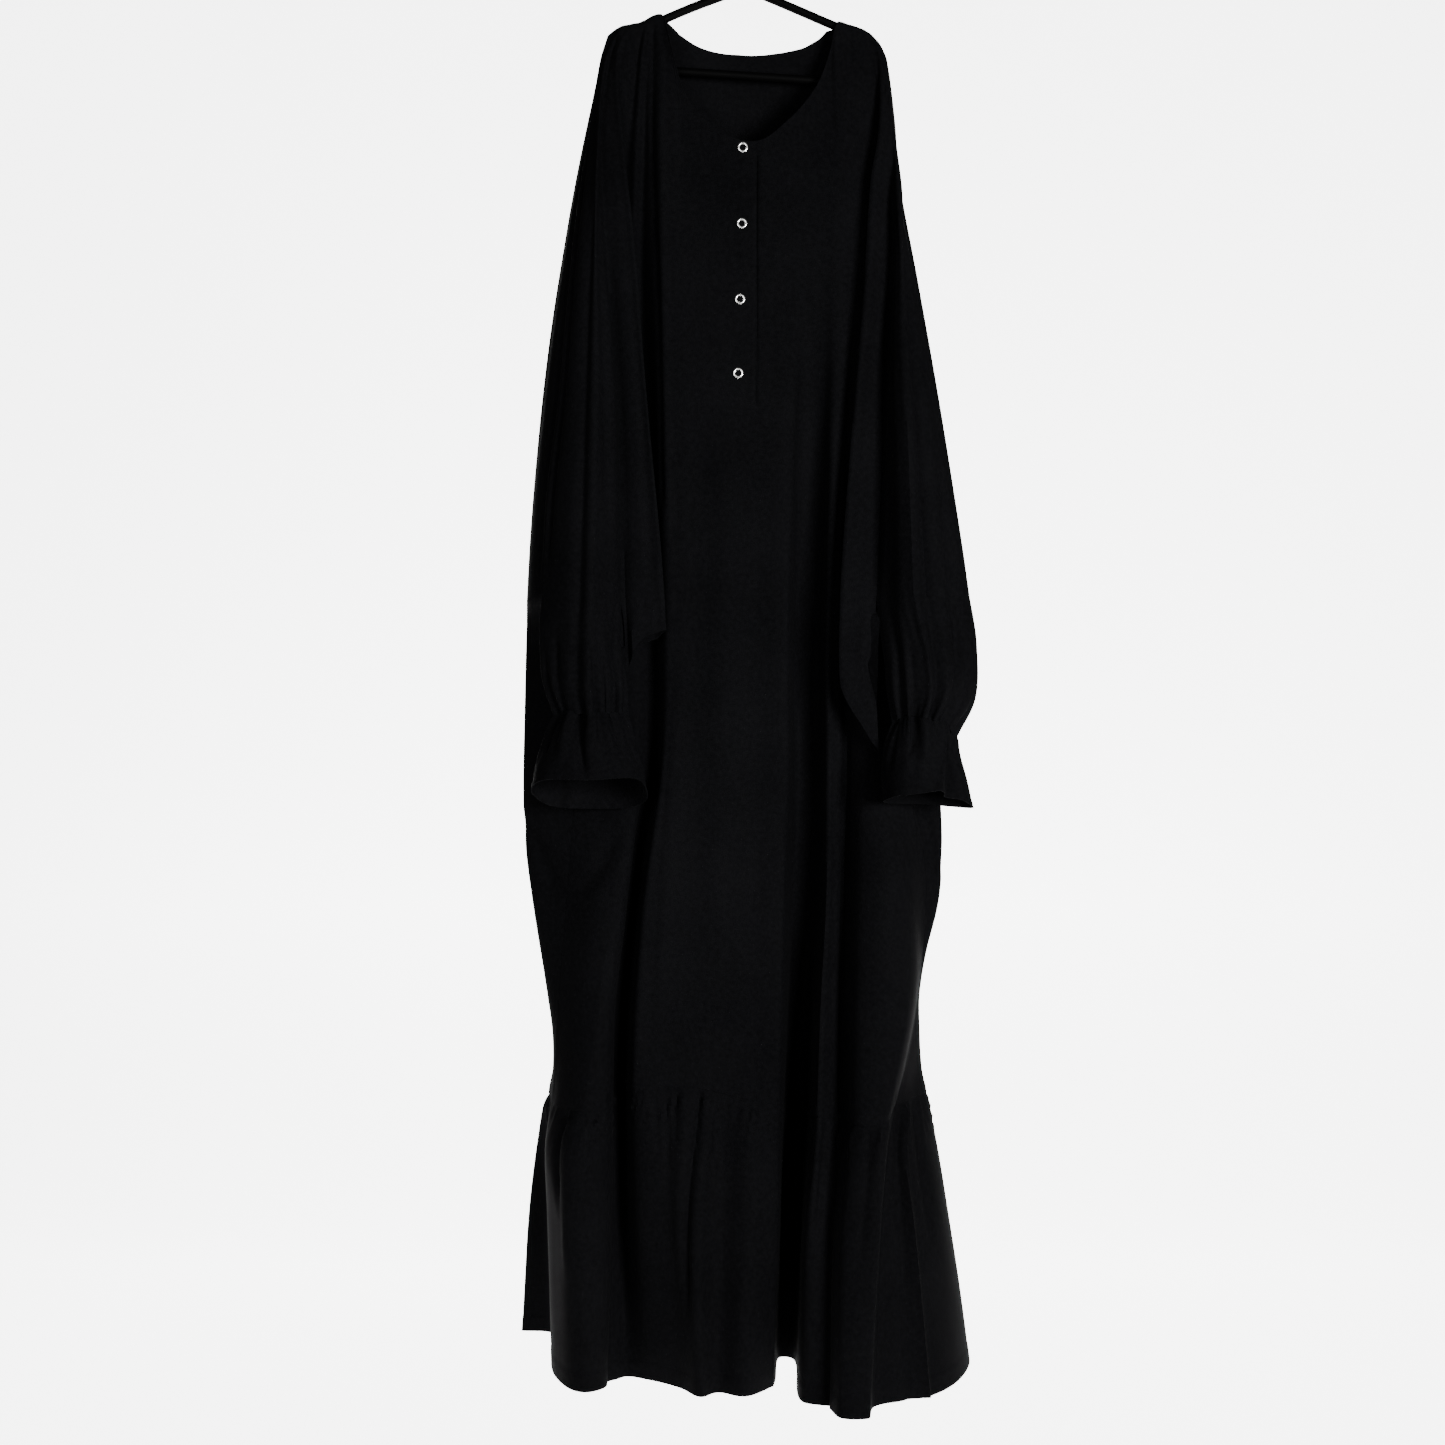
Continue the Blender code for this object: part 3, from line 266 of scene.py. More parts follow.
FLOUNCE_BACK = (
    Fold("inner left", ((-1297, -217, 8), (-1345, -220, 36), (-1430, -214, 68),
                        (-1601, -206, 116))),
    Fold("strip left", ((-1297, -219, 24), (-1345, -226, 56), (-1430, -230, 92),
                        (-1601, -234, 143))),
    Fold("outline left", ((-1297, -221, 38), (-1327, -232, 62), (-1423, -247, 94),
                          (-1554, -260, 136), (-1601, -264, 148))),
    Fold("wing left", ((-1297, -190, 84), (-1430, -214, 124), (-1601, -234, 178))),
    Fold("groove left", ((-1297, -150, 64), (-1430, -172, 98), (-1601, -190, 142))),
    Fold("crest left", ((-1297, -112, 94), (-1430, -128, 130), (-1601, -144, 172))),
    Fold("groove 2", ((-1297, -74, 84), (-1430, -86, 108), (-1601, -96, 138))),
    Fold("ridge left", ((-1297, -34, 98), (-1430, -40, 132), (-1601, -46, 168))),
    Fold("middle", ((-1297, 2, 84), (-1430, 2, 108), (-1601, 2, 136))),
    Fold("ridge right", ((-1297, 40, 98), (-1430, 46, 130), (-1601, 52, 164))),
    Fold("groove 3", ((-1297, 80, 84), (-1430, 90, 108), (-1601, 100, 134))),
    Fold("crest right", ((-1297, 118, 94), (-1430, 134, 124), (-1601, 150, 158))),
    Fold("groove right", ((-1297, 154, 66), (-1430, 174, 86), (-1601, 192, 112))),
    Fold("wing right", ((-1297, 182, 80), (-1430, 208, 98), (-1601, 234, 116))),
    Fold("outline right", ((-1297, 202, 44), (-1370, 216, 46), (-1432, 226, 48), (-1508, 238, 52),
                           (-1601, 251, 57))),
    Fold("face right", ((-1297, 187, 12), (-1345, 196, 0), (-1430, 212, -8), (-1601, 227, -22))),
    Fold("ridge", ((-1297, 171, -16), (-1345, 168, -34), (-1430, 176, -48), (-1601, 190, -64))),
)

# Rings of the sleeves and cuffs. The columns go round from the inner side over the front:
# inner, front in, front, front out, outer, back out, back, back in; each is height, across, depth.
SLEEVE_LEFT = (
    ((-753.6, -140, -60), (-750.8, -151, -74), (-750.8, -168, -88), (-750.8, -196, -75),
     (-752.6, -217, -58), (-772, -203, -48), (-797, -178, -34), (-775, -154, -46)),
    ((-800, -136, -66), (-796, -149, -82), (-796, -169, -94), (-796, -197, -82),
     (-796, -220, -64), (-800, -206, -50), (-812, -178, -40), (-806, -150, -50)),
    ((-840, -130, -70), (-840, -142, -88), (-840, -168, -99), (-840, -196, -88),
     (-840, -216, -68), (-840, -200, -52), (-842, -168, -46), (-842, -140, -52)),
    ((-874, -130, -64), (-874, -143, -79), (-874, -166, -86), (-874, -190, -79),
     (-874, -204, -64), (-874, -192, -52), (-874, -167, -48), (-874, -142, -52)),
)
CUFF_LEFT = (
    ((-874.3, -130, -64), (-874.3, -143, -79), (-874.3, -166, -86), (-874.3, -190, -79),
     (-874.3, -204, -64), (-874.3, -192, -52), (-874.3, -167, -48), (-874.3, -142, -52)),
    ((-900, -121, -68), (-898, -136, -88), (-897, -166, -97), (-898, -198, -88),
     (-901, -216, -66), (-903, -200, -50), (-904, -168, -44), (-903, -136, -50)),
    ((-930, -112, -72), (-922, -127, -98), (-920, -166, -107), (-922, -204, -97),
     (-931, -225, -68), (-938, -208, -48), (-940, -170, -40), (-939, -130, -47)),
    ((-963, -107, -76), (-943, -115, -104), (-943, -165, -114), (-944, -216, -98),
     (-957, -229, -71), (-972, -213, -49), (-976, -171, -42), (-974, -126, -49)),
)
SLEEVE_RIGHT = (
    ((-753.8, 143, -64), (-751, 158, -78), (-751, 178, -88), (-751, 214, -70),
     (-752.8, 234, -54), (-768, 215, -46), (-797, 176, -32), (-775, 156, -48)),
    ((-810, 145, -68), (-800, 158, -86), (-800, 184, -96), (-800, 222, -78),
     (-800, 242, -60), (-806, 222, -48), (-814, 180, -40), (-814, 154, -52)),
    ((-852, 149, -68), (-850, 160, -88), (-850, 188, -98), (-850, 222, -84),
     (-856, 240, -62), (-856, 222, -48), (-856, 188, -42), (-854, 156, -50)),
    ((-882, 156, -66), (-878, 164, -80), (-877, 184, -88), (-886, 206, -80),
     (-897, 220, -64), (-895, 208, -51), (-890, 186, -46), (-884, 163, -52)),
)
CUFF_RIGHT = (
    ((-882.3, 156, -66), (-878.3, 164, -80), (-877.3, 184, -88), (-886.3, 206, -80),
     (-897.3, 220, -64), (-895.3, 208, -51), (-890.3, 186, -46), (-884.3, 163, -52)),
    ((-906, 146, -68), (-900, 161, -88), (-899, 186, -96), (-905, 208, -84),
     (-917, 224, -64), (-920, 210, -48), (-916, 186, -42), (-908, 160, -48)),
    ((-938, 142, -70), (-928, 158, -96), (-926, 184, -103), (-930, 206, -94),
     (-943, 232, -64), (-948, 218, -50), (-948, 188, -45), (-942, 156, -50)),
    ((-967, 144, -74), (-960, 155, -103), (-957, 178, -111), (-955, 200, -104),
     (-974, 240, -62), (-974, 226, -51), (-971, 190, -46), (-970, 156, -51)),
)


# The lower edges of the two parts of the wide sleeves that hang below the sleeve seam
LOBE_EDGE_LEFT = ((2.0, -823), (2.09, -822), (2.14, -815), (2.27, -798), (2.48, -789.5),
                  (2.82, -785), (3.0, -784), (3.5, -787), (4.0, -793), (4.4, -797), (5.0, -804))
LOBE_EDGE_RIGHT = ((25.0, -868), (25.5, -860), (26.0, -851), (26.5, -847), (27.0, -845),
                   (27.3, -862), (27.6, -884), (27.85, -905), (28.0, -914))
# How far the lobe right of the body is cut in beside the sleeve: distances down, then across
LOBE_NOTCH = ((800, 822, 836, 863), (0, -8.5, -5.5, 0))
# How the flounce's folds carry on the body's, front and back
FRONT_MAP = (0, 2, 3, 4, 5, 5.5, 6, 7, 8, 9, 10, 11, 12, 13, 13.5, 14, 15, 16, 17)
BACK_MAP = (0, 3, 4, 5, 6, 7, 8, 9, 10, 11, 12, 13, 14, 15, 18)
# How far the flounce's front seam runs above its general height, at its folds
SEAM_LIFT = ((0, 0), (1, -2), (3, 0), (4.5, 8), (5.5, 22), (7, 22), (8.5, 12), (10, 3), (12, -4),
             (13, -10), (14, -15), (15.5, -15), (16.3, -8), (17, 0))
# How far the back's neck edge is cut below its folds' line, at places across
BACK_NECK_TRIM = ((-91, 0), (-82, -3), (-74.6, -5), (-50, -2.5), (-10, 0), (32, -2.5), (63, -6),
                  (81, -3), (88, 2), (97, 0))
# How far the right shoulder's edge is cut down, at places across
SHOULDER_TRIM = ((100, 0), (110, -1.5), (128, -2.6), (140, -2), (147, 0))

# Creases: the points of each one's path (height, place counted in folds), half its width, how far it
# stands out (in where negative), and the length of its ends
FRONT_CREASES = (
    ((-104, 9.30), (-306, 9.60), (-425, 9.84), (-660, 9.9), 2.8, -2.6, 30),
    ((-104, 9.85), (-300, 10.1), (-640, 10.3), 4.5, 1.8, 36),
    ((-108, 8.95), (-300, 8.9), (-560, 8.8), 4.0, -2.6, 28),
    ((-108, 8.35), (-300, 8.2), (-560, 7.9), 4.0, 3.4, 28),
    ((-112, 7.4), (-300, 7.2), (-560, 7.2), 4.5, -2.0, 40),
    ((-230, 0.1), (-420, 0.12), (-740, 0.12), 4.0, -5.0, 90),
    ((-124, 1.3), (-240, 1.3), (-400, 1.2), 3.6, 1.2, 30),
    ((-170, 0.62), (-420, 0.66), (-640, 0.6), 8, -2.4, 80),
    ((-300, 0.86), (-560, 0.82), (-750, 0.8), (-900, 0.8), 7, -5.5, 110),
    ((-330, 1.06), (-600, 1.02), (-900, 1.02), 6, 3.0, 110),
    ((-280, 1.36), (-450, 1.45), (-690, 1.5), 8, -2.4, 90),
    ((-380, 1.72), (-560, 1.7), (-900, 1.7), 7, 2.0, 90),
    ((-116, 1.85), (-220, 1.9), (-380, 1.95), 3.2, -2.6, 24),
    ((-330, 2.0), (-520, 2.02), (-900, 2.05), 4.6, -8.0, 110),
    ((-240, 2.45), (-500, 2.5), (-760, 2.4), 6, 1.6, 80),
    ((-420, 2.75), (-620, 2.7), (-770, 2.6), 5, -1.4, 60),
    ((-114, 3.0), (-820, 3.0), 3.2, 2.4, 26),
    ((-330, 12.4), (-700, 12.5), (-1180, 12.6), 17, -1.8, 170),
    ((-520, 13.6), (-900, 13.5), (-1240, 13.4), 15, 1.9, 170),
    ((-600, 14.8), (-1000, 14.9), (-1270, 14.8), 15, -1.8, 170),
    ((-760, 11.4), (-1000, 11.5), (-1270, 11.5), 9, 1.6, 130),
    ((-236, 14.885), (-400, 14.86), (-545, 14.83), 1.5, -2.4, 12),
    ((-300, 18.6), (-520, 18.8), (-760, 18.8), 9, 1.6, 120),
    ((-640, 16.0), (-1400, 16.0), 4.5, 1.8, 110),
    ((-430, 17.5), (-1000, 17.5), 15, -9.0, 170),
    ((-560, 19.0), (-1400, 19.0), 4.0, 1.6, 90),
    ((-600, 21.0), (-1400, 21.0), 3.2, -5.0, 150),
    ((-620, 20.0), (-900, 20.1), (-1240, 20.1), 4.5, 1.2, 120),
    ((-800, 22.5), (-1000, 22.5), (-1240, 22.4), 10, 2.0, 120),
    ((-900, 23.0), (-1400, 23.0), 4.5, 2.0, 90),
    ((-920, 8.7), (-1078, 8.5), (-1400, 8.5), 9, -8.0, 110),
    ((-880, 10.0), (-1400, 10.0), 4.5, 1.6, 110),
    ((-985, 7.7), (-1030, 7.0), (-1080, 6.3), 12, -4.5, 34),
    ((-1010, 7.9), (-1100, 7.7), (-1240, 7.5), 9, 1.8, 60),
    ((-1090, 7.2), (-1180, 7.0), (-1290, 6.9), 9, -1.8, 60),
    ((-250, 28.0), (-800, 28.0), 4.6, -8.5, 110),
    ((-122, 27.0), (-860, 27.0), 3.4, 2.0, 26),
    ((-240, 29.9), (-420, 29.88), (-700, 29.88), 4.0, -3.4, 90),
    ((-300, 27.5), (-520, 27.5), (-760, 27.4), 6, 1.4, 80),
    ((-240, 28.95), (-900, 28.95), 3.2, 3.6, 90),
    ((-300, 29.2), (-560, 29.17), (-750, 29.16), (-900, 29.16), 6, -6.5, 110),
    ((-380, 28.74), (-900, 28.74), 15, 6.0, 110),
    ((-240, 29.6), (-420, 29.62), (-700, 29.66), 9, -2.2, 90),
    ((-600, 29.62), (-700, 29.56), (-900, 29.5), 7, -5.0, 60),
    ((-200, 28.5), (-300, 28.55), (-600, 28.6), 7, 1.4, 90),
)
BACK_CREASES = (
    ((-150, 0.12), (-420, 0.15), (-740, 0.15), 4.0, -4.0, 60),
    ((-975, 0.95), (-1030, 0.6), (-1080, 0.15), 12, -5.0, 32),
    ((-955, 13.9), (-1000, 13.6), (-1060, 13.2), 9, -6.0, 34),
    ((-150, 0.6), (-460, 0.7), (-800, 0.75), 8, -2.0, 80),
    ((-200, 1.5), (-520, 1.6), (-900, 1.5), 12, -3.0, 120),
    ((-260, 2.4), (-700, 2.5), (-1240, 2.4), 11, 3.0, 140),
    ((-180, 3.5), (-520, 3.6), (-1100, 3.4), 10, -3.5, 130),
    ((-300, 4.5), (-760, 4.4), (-1400, 4.5), 12, 3.0, 140),
    ((-170, 5.5), (-420, 5.4), (-820, 5.6), 9, -3.0, 110),
    ((-420, 6.5), (-820, 6.6), (-1400, 6.4), 13, -4.0, 170),
    ((-240, 7.4), (-560, 7.5), (-900, 7.4), 10, 2.4, 120),
    ((-620, 7.9), (-960, 8.0), (-1400, 7.8), 12, 3.4, 160),
    ((-200, 8.6), (-520, 8.5), (-1040, 8.6), 10, -3.2, 130),
    ((-360, 9.5), (-820, 9.4), (-1400, 9.5), 12, -3.6, 150),
    ((-170, 10.4), (-480, 10.5), (-900, 10.4), 9, 2.8, 110),
    ((-460, 11.4), (-860, 11.5), (-1300, 11.4), 11, -3.2, 140),
    ((-220, 12.5), (-620, 12.4), (-1000, 12.5), 11, 2.6, 130),
)
FLOUNCE_FRONT_CREASES = (
    ((-1240, 1.35), (-1345, 1.4), (-1420, 1.45), 5, -5.0, 55),
    ((-1250, 1.7), (-1345, 1.75), (-1500, 1.8), 8, 2.2, 60),
    ((-1240, 5.62), (-1320, 5.7), (-1380, 5.75), 3.4, -2.4, 50),
    ((-1240, 5.96), (-1330, 6.0), (-1400, 6.0), 3.6, -3.0, 50),
    ((-1240, 6.3), (-1320, 6.3), (-1372, 6.2), 3.2, -2.4, 50),
    ((-1240, 7.4), (-1368, 6.8), (-1423, 6.74), (-1530, 6.6), 4.6, -6.0, 60),
    ((-1240, 7.75), (-1368, 7.2), (-1423, 7.15), (-1560, 7.0), 7, 3.0, 60),
    ((-1240, 6.75), (-1350, 6.45), (-1480, 6.3), 6, 2.0, 60),
    ((-1240, 9.4), (-1345, 9.45), (-1500, 9.6), 7, -1.4, 60),
    ((-1240, 10.0), (-1700, 10.0), 4.5, 1.6, 50),
    ((-1400, 8.8), (-1500, 8.9), (-1700, 9.0), 14, 3.0, 90),
    ((-1400, 7.9), (-1520, 7.8), (-1700, 7.7), 12, -3.0, 90),
    ((-1240, 12.75), (-1330, 12.8), (-1400, 12.8), 3.4, -3.0, 50),
    ((-1240, 13.35), (-1330, 13.4), (-1440, 13.45), 4, -3.2, 50),
    ((-1240, 14.0), (-1700, 14.0), 3.6, -5.0, 50),
    ((-1240, 14.55), (-1330, 14.6), (-1400, 14.6), 3.6, -2.4, 50),
    ((-1240, 15.45), (-1350, 15.5), (-1460, 15.5), 5, -2.8, 55),
    ((-1240, 16.0), (-1700, 16.0), 4.5, 1.6, 50),
    ((-1240, 3.45), (-1430, 3.5), (-1700, 3.5), 8, -6.0, 60),
    ((-1400, 2.4), (-1500, 2.45), (-1700, 2.5), 10, 2.4, 90),
    ((-1240, 2.5), (-1400, 2.5), 4, -2.2, 50),
)
FLOUNCE_BACK_CREASES = (
    ((-1240, 1.6), (-1345, 1.7), (-1460, 1.8), 5, -3.0, 55),
    ((-1240, 3.4), (-1380, 3.45), (-1540, 3.4), 6, -3.4, 60),
    ((-1240, 4.5), (-1360, 4.5), (-1700, 4.6), 8, 3.0, 60),
    ((-1240, 5.6), (-1400, 5.55), (-1560, 5.6), 6, -3.6, 60),
    ((-1240, 6.5), (-1440, 6.5), 5, -2.6, 55),
    ((-1240, 7.5), (-1400, 7.5), (-1700, 7.6), 8, -3.4, 60),
    ((-1240, 8.6), (-1350, 8.6), (-1460, 8.5), 5, 2.4, 55),
    ((-1240, 9.5), (-1400, 9.45), (-1700, 9.5), 8, 3.2, 60),
    ((-1240, 10.4), (-1340, 10.4), (-1440, 10.5), 5, -3.0, 55),
    ((-1240, 11.5), (-1700, 11.5), 8, -3.4, 60),
    ((-1240, 12.6), (-1360, 12.6), (-1500, 12.5), 6, 2.8, 60),
    ((-1240, 13.5), (-1460, 13.5), 5, -3.0, 55),
    ((-1240, 14.6), (-1380, 14.6), (-1700, 14.5), 8, -3.0, 60),
    ((-1240, 16.2), (-1370, 16.4), (-1460, 16.5), 6, -4.0, 55),
    ((-1270, 16.9), (-1430, 17.0), (-1700, 17.0), 3.4, 6.0, 45),
    ((-1270, 17.3), (-1700, 17.3), 7, -5.0, 45),
)
SLEEVE_LEFT_CREASES = (
    ((-700, 2.42), (-780, 2.4), (-825, 2.4), (-880, 2.45), 7, -3.4, 30),
    ((-700, 2.0), (-930, 2.0), 6, 2.6, 30),
    ((-740, 0.6), (-800, 0.78), (-930, 0.9), 4, -5.0, 34),
    ((-790, 1.35), (-850, 1.4), (-930, 1.4), 3.6, -3.6, 34),
    ((-800, 1.75), (-850, 1.75), (-930, 1.7), 3, -2.6, 30),
    ((-780, 3.2), (-850, 3.2), (-930, 3.25), 4.5, -3.6, 34),
    ((-800, 3.65), (-930, 3.6), 3.4, -2.6, 30),
    ((-790, 5.4), (-930, 5.4), 5, -3.0, 34),
    ((-800, 6.5), (-930, 6.5), 5, -3.0, 34),
)
CUFF_LEFT_CREASES = (
    ((-830, 2.5), (-888, 2.42), (-905, 2.3), (-945, 2.05), 5, -6.5, 24),
    ((-830, 2.95), (-890, 2.85), (-930, 2.75), 6, 3.6, 26),
    ((-830, 2.0), (-890, 1.9), (-925, 1.75), 6, 2.2, 26),
    ((-830, 1.2), (-890, 1.15), (-920, 1.1), 3.6, -3.4, 24),
    ((-830, 0.6), (-890, 0.55), (-935, 0.5), 5, -3.4, 26),
    ((-830, 3.45), (-890, 3.45), (-925, 3.4), 4, -3.4, 24),
    ((-830, 5.5), (-890, 5.5), (-1040, 5.6), 8, -4.0, 30),
    ((-830, 6.6), (-940, 6.6), 6, -3.4, 26),
)
SLEEVE_RIGHT_CREASES = (
    ((-730, 0.9), (-860, 0.95), (-950, 1.0), 5, -4.4, 36),
    ((-700, 2.0), (-860, 2.06), (-950, 2.1), 2.8, 4.2, 30),
    ((-700, 2.28), (-800, 2.3), (-950, 2.34), 4, -5.0, 30),
    ((-780, 2.55), (-860, 2.55), (-950, 2.5), 3.4, 2.4, 34),
    ((-700, 3.1), (-790, 2.97), (-880, 2.85), (-905, 2.8), 6.5, -6.0, 30),
    ((-700, 3.5), (-900, 3.5), 11, 2.6, 40),
    ((-790, 1.5), (-950, 1.5), 3.6, -3.0, 34),
    ((-820, 3.3), (-950, 3.2), 3.6, -3.0, 34),
    ((-790, 5.4), (-950, 5.4), 5, -3.0, 34),
    ((-800, 6.5), (-950, 6.5), 5, -3.0, 34),
)
CUFF_RIGHT_CREASES = (
    ((-886, 3.25), (-915, 3.3), (-1060, 3.36), 9, -12.0, 40),
    ((-850, 2.9), (-920, 2.92), (-1060, 2.92), 4, 3.4, 26),
    ((-850, 1.55), (-890, 1.5), (-925, 1.4), 5, -5.0, 22),
    ((-850, 2.1), (-900, 2.05), (-935, 2.0), 6, 2.4, 24),
    ((-850, 0.7), (-900, 0.65), (-940, 0.6), 5, -3.4, 26),
    ((-850, 5.5), (-900, 5.5), (-1060, 5.6), 7, -3.0, 30),
    ((-850, 6.6), (-950, 6.6), 6, -3.0, 26),
)


def smooth_step(value: np.ndarray) -> np.ndarray:
    """Return a soft ramp from 0 to 1 as the value goes from 0 to 1."""
    t = np.clip(value, 0.0, 1.0)
    return t * t * (3 - 2 * t)


def spline(points: np.ndarray, steps: list[int], closed: bool = False) -> np.ndarray:
    """Draw centripetal splines through many runs of points at once.

    Args:
        points: Runs of points, as an array of runs by points by 3.
        steps: How many points each span between two given points gets.
        closed: Whether the last point joins the first.

    Returns:
        The runs with their new points, as an array of runs by points by 3.
    """
    if closed:
        padded = np.concatenate([points[:, -1:], points, points[:, :2]], axis=1)
    else:
        before = points[:, :1] * 2 - points[:, 1:2]
        after = points[:, -1:] * 2 - points[:, -2:-1]
        padded = np.concatenate([before, points, after], axis=1)
    gaps = np.maximum(np.linalg.norm(np.diff(padded, axis=1), axis=2), 1e-6) ** 0.5
    pieces = []
    for index, count in enumerate(steps):
        p0, p1, p2, p3 = (padded[:, index + k] for k in range(4))
        g0, g1, g2 = (gaps[:, index + k, None] for k in range(3))
        for step in range(count):
            u = g1 * step / count
            a1 = p0 + (p1 - p0) * (u + g0) / g0
            a2 = p1 + (p2 - p1) * u / g1
            a3 = p2 + (p3 - p2) * (u - g1) / g2
            b1 = a1 + (a2 - a1) * (u + g0) / (g0 + g1)
            b2 = a2 + (a3 - a2) * u / (g1 + g2)
            pieces.append(b1 + (b2 - b1) * u / g1)
    if not closed:
        pieces.append(points[:, -1])
    return np.stack(pieces, axis=1)


def arc_lengths(grid: np.ndarray) -> np.ndarray:
    """Return how far each point of each row lies along its row."""
    hops = np.linalg.norm(np.diff(grid, axis=1), axis=2)
    return np.concatenate([np.zeros((len(grid), 1)), np.cumsum(hops, axis=1)], axis=1)


def grid_normals(grid: np.ndarray, closed: bool = False) -> np.ndarray:
    """Find which way each point of a sheet faces.

    Args:
        grid: Rows of points, from the top down and from the left to the right.
        closed: Whether each row is a ring.

    Returns:
        Unit vectors, one for each point, towards the viewer for a sheet seen from the front.
    """
    if closed:
        across = np.roll(grid, -1, axis=1) - np.roll(grid, 1, axis=1)
    else:
        across = np.gradient(grid, axis=1)
    up = -np.gradient(grid, axis=0)
    facing = np.cross(across, up)
    size = np.linalg.norm(facing, axis=2, keepdims=True)
    return facing / np.maximum(size, 1e-9)


def fold_places(steps: list[int], first: int = 0) -> np.ndarray:
    """Return each column's place, counted in folds.

    Args:
        steps: The points of each span between two folds.
        first: The number of the first fold.

    Returns:
        One number for each column, whole where a fold runs.
    """
    marks = np.concatenate([[0], np.cumsum(steps)])
    return first + np.interp(np.arange(marks[-1] + 1), marks, np.arange(len(marks)))


def seam_trim(run: np.ndarray, before: np.ndarray, after: np.ndarray, gap: float,
              thickness: float) -> None:
    """Shorten every row at both ends, so that its wall clears its neighbours'.

    Args:
        run: Rows of points, changed in place.
        before: The neighbour's point next to the first end, one for each row.
        after: The neighbour's point next to the last end, one for each row.
        gap: The gap at the seam.
        thickness: The cloth's thickness.
    """
    for end, inner, other in ((0, 1, before), (-1, -2, after)):
        inward = run[:, inner] - run[:, end]
        inward /= np.maximum(np.linalg.norm(inward, axis=1, keepdims=True), 1e-9)
        along = run[:, end] - other
        along /= np.maximum(np.linalg.norm(along, axis=1, keepdims=True), 1e-9)
        turn = np.arccos(np.clip((inward * along).sum(axis=1), -1, 1))
        trim = gap / 2 + thickness / 2 * np.tan(np.minimum(turn, 2.2) / 2)
        run[:, end] += inward * trim[:, None]


@dataclass(eq=False)
class Sheet:
    """Rows of points of one cut piece of cloth.

    Attributes:
        points: Points in millimetres, from the top down and from the left to the right.
        places: The place of each column, counted in folds.
        side: 1 where the outside faces the viewer of the rows, -1 where it faces away.
        closed: Whether each row is a ring.
    """

    points: np.ndarray
    places: np.ndarray
    side: float = 1.0
    closed: bool = False

    def press(self, creases: tuple[tuple, ...]) -> None:
        """Lay soft troughs and ridges into the sheet.

        Args:
            creases: For each one the points of its path, as a height and a place, and then half
                its width, how far it stands out (in where negative), and the length of its ends.
        """
        normals = grid_normals(self.points, self.closed) * self.side
        arcs = arc_lengths(self.points)
        heights = self.points[:, :, 2]
        moved = np.zeros(heights.shape)
        for *path, width, depth, fade in creases:
            table = np.array(path, float)[::-1]
            start, end = table[-1, 0], table[0, 0]
            rows = np.flatnonzero((heights.min(axis=1) < start) & (heights.max(axis=1) > end))
            for row in rows:
                spot = np.interp(heights[row], table[:, 0], table[:, 1])
                away = arcs[row] - np.interp(spot, self.places, arcs[row])
                if self.closed:
                    length = arcs[row, -1] + np.linalg.norm(self.points[row, 0]
                                                            - self.points[row, -1])
                    away = (away + length / 2) % length - length / 2
                strength = (smooth_step((start - heights[row]) / fade)
                            * smooth_step((heights[row] - end) / fade))
                moved[row] += depth * strength * np.exp(-(away / width) ** 2)
        self.points += normals * moved[:, :, None]

    def ease_back(self, plain: np.ndarray, keep: np.ndarray, reach: float) -> None:
        """Take back part of what was laid into the sheet, and all of it at its two side edges.

        Args:
            plain: The points before it.
            keep: How much of it stays at each point.
            reach: How far from a side edge all of it stays, in millimetres.
        """
        arcs = arc_lengths(plain)
        beside = smooth_step(np.minimum(arcs, arcs[:, -1:] - arcs) / reach)
        self.points = plain + (self.points - plain) * (keep * beside)[:, :, None]

    def ripple(self, amount: float, size: float, seed: float) -> None:
        """Add the slight unevenness of hanging cloth.

        Args:
            amount: The most that a point moves, in millimetres.
            size: The distance across one ripple, in millimetres; it is four times as long.
            seed: Where in the noise the pattern is read.
        """
        normals = grid_normals(self.points, self.closed) * self.side
        place = self.points / np.array([size, size, size * 4.0]) + np.array([0.0, seed, 0.0])
        moved = np.array([noise.noise(Vector(spot)) for spot in place.reshape(-1, 3)])
        self.points += normals * (moved.reshape(place.shape[:2]) * amount)[:, :, None]

    def gather(self, edge: np.ndarray, reach: float, depth: float, pitch: float,
               phase: float) -> None:
        """Draw the cloth together in small uneven gathers beside an edge.

        Args:
            edge: How far each point is from the edge, in millimetres.
            reach: How far most gathers run.
            depth: How far they stand out at the edge.
            pitch: The distance from one gather to the next.
            phase: Where the pattern starts.
        """
        normals = grid_normals(self.points, self.closed) * self.side
        arcs = arc_lengths(self.points)
        arcs = arcs / arcs[:, -1:] * arcs[:, -1].max()
        # Slow waves shift the gathers and vary their depth, so that no two are alike
        turn = arcs / pitch * 2 * np.pi
        wave = np.sin(turn + 1.4 * np.sin(turn * 0.31 + phase) + 0.9 * np.sin(turn * 0.13 + phase * 2))
        uneven = 1.0 + 0.45 * np.sin(turn * 0.23 + phase * 3) + 0.25 * np.sin(turn * 0.57)
        fall = np.clip(1.0 - edge / (reach * uneven), 0.0, 1.0) ** 1.6
        self.points += normals * (depth * uneven * wave * fall)[:, :, None]

    def hem(self, edge: np.ndarray, width: float, proud: float) -> None:
        """Thicken the turned hem along the lower edge and sink its line of stitches.

        Args:
            edge: How far each point is from the lower edge, in millimetres.
            width: How wide the hem is.
            proud: How far the doubled cloth stands out.
        """
        normals = grid_normals(self.points, self.closed) * self.side
        step, groove, sink = 3.0, 2.2, 0.9
        turned = smooth_step((width + 2.0 - edge) / step) * proud
        sunk = np.exp(-((edge - width) / groove) ** 2) * proud * sink
        self.points += normals * (turned - sunk)[:, :, None]


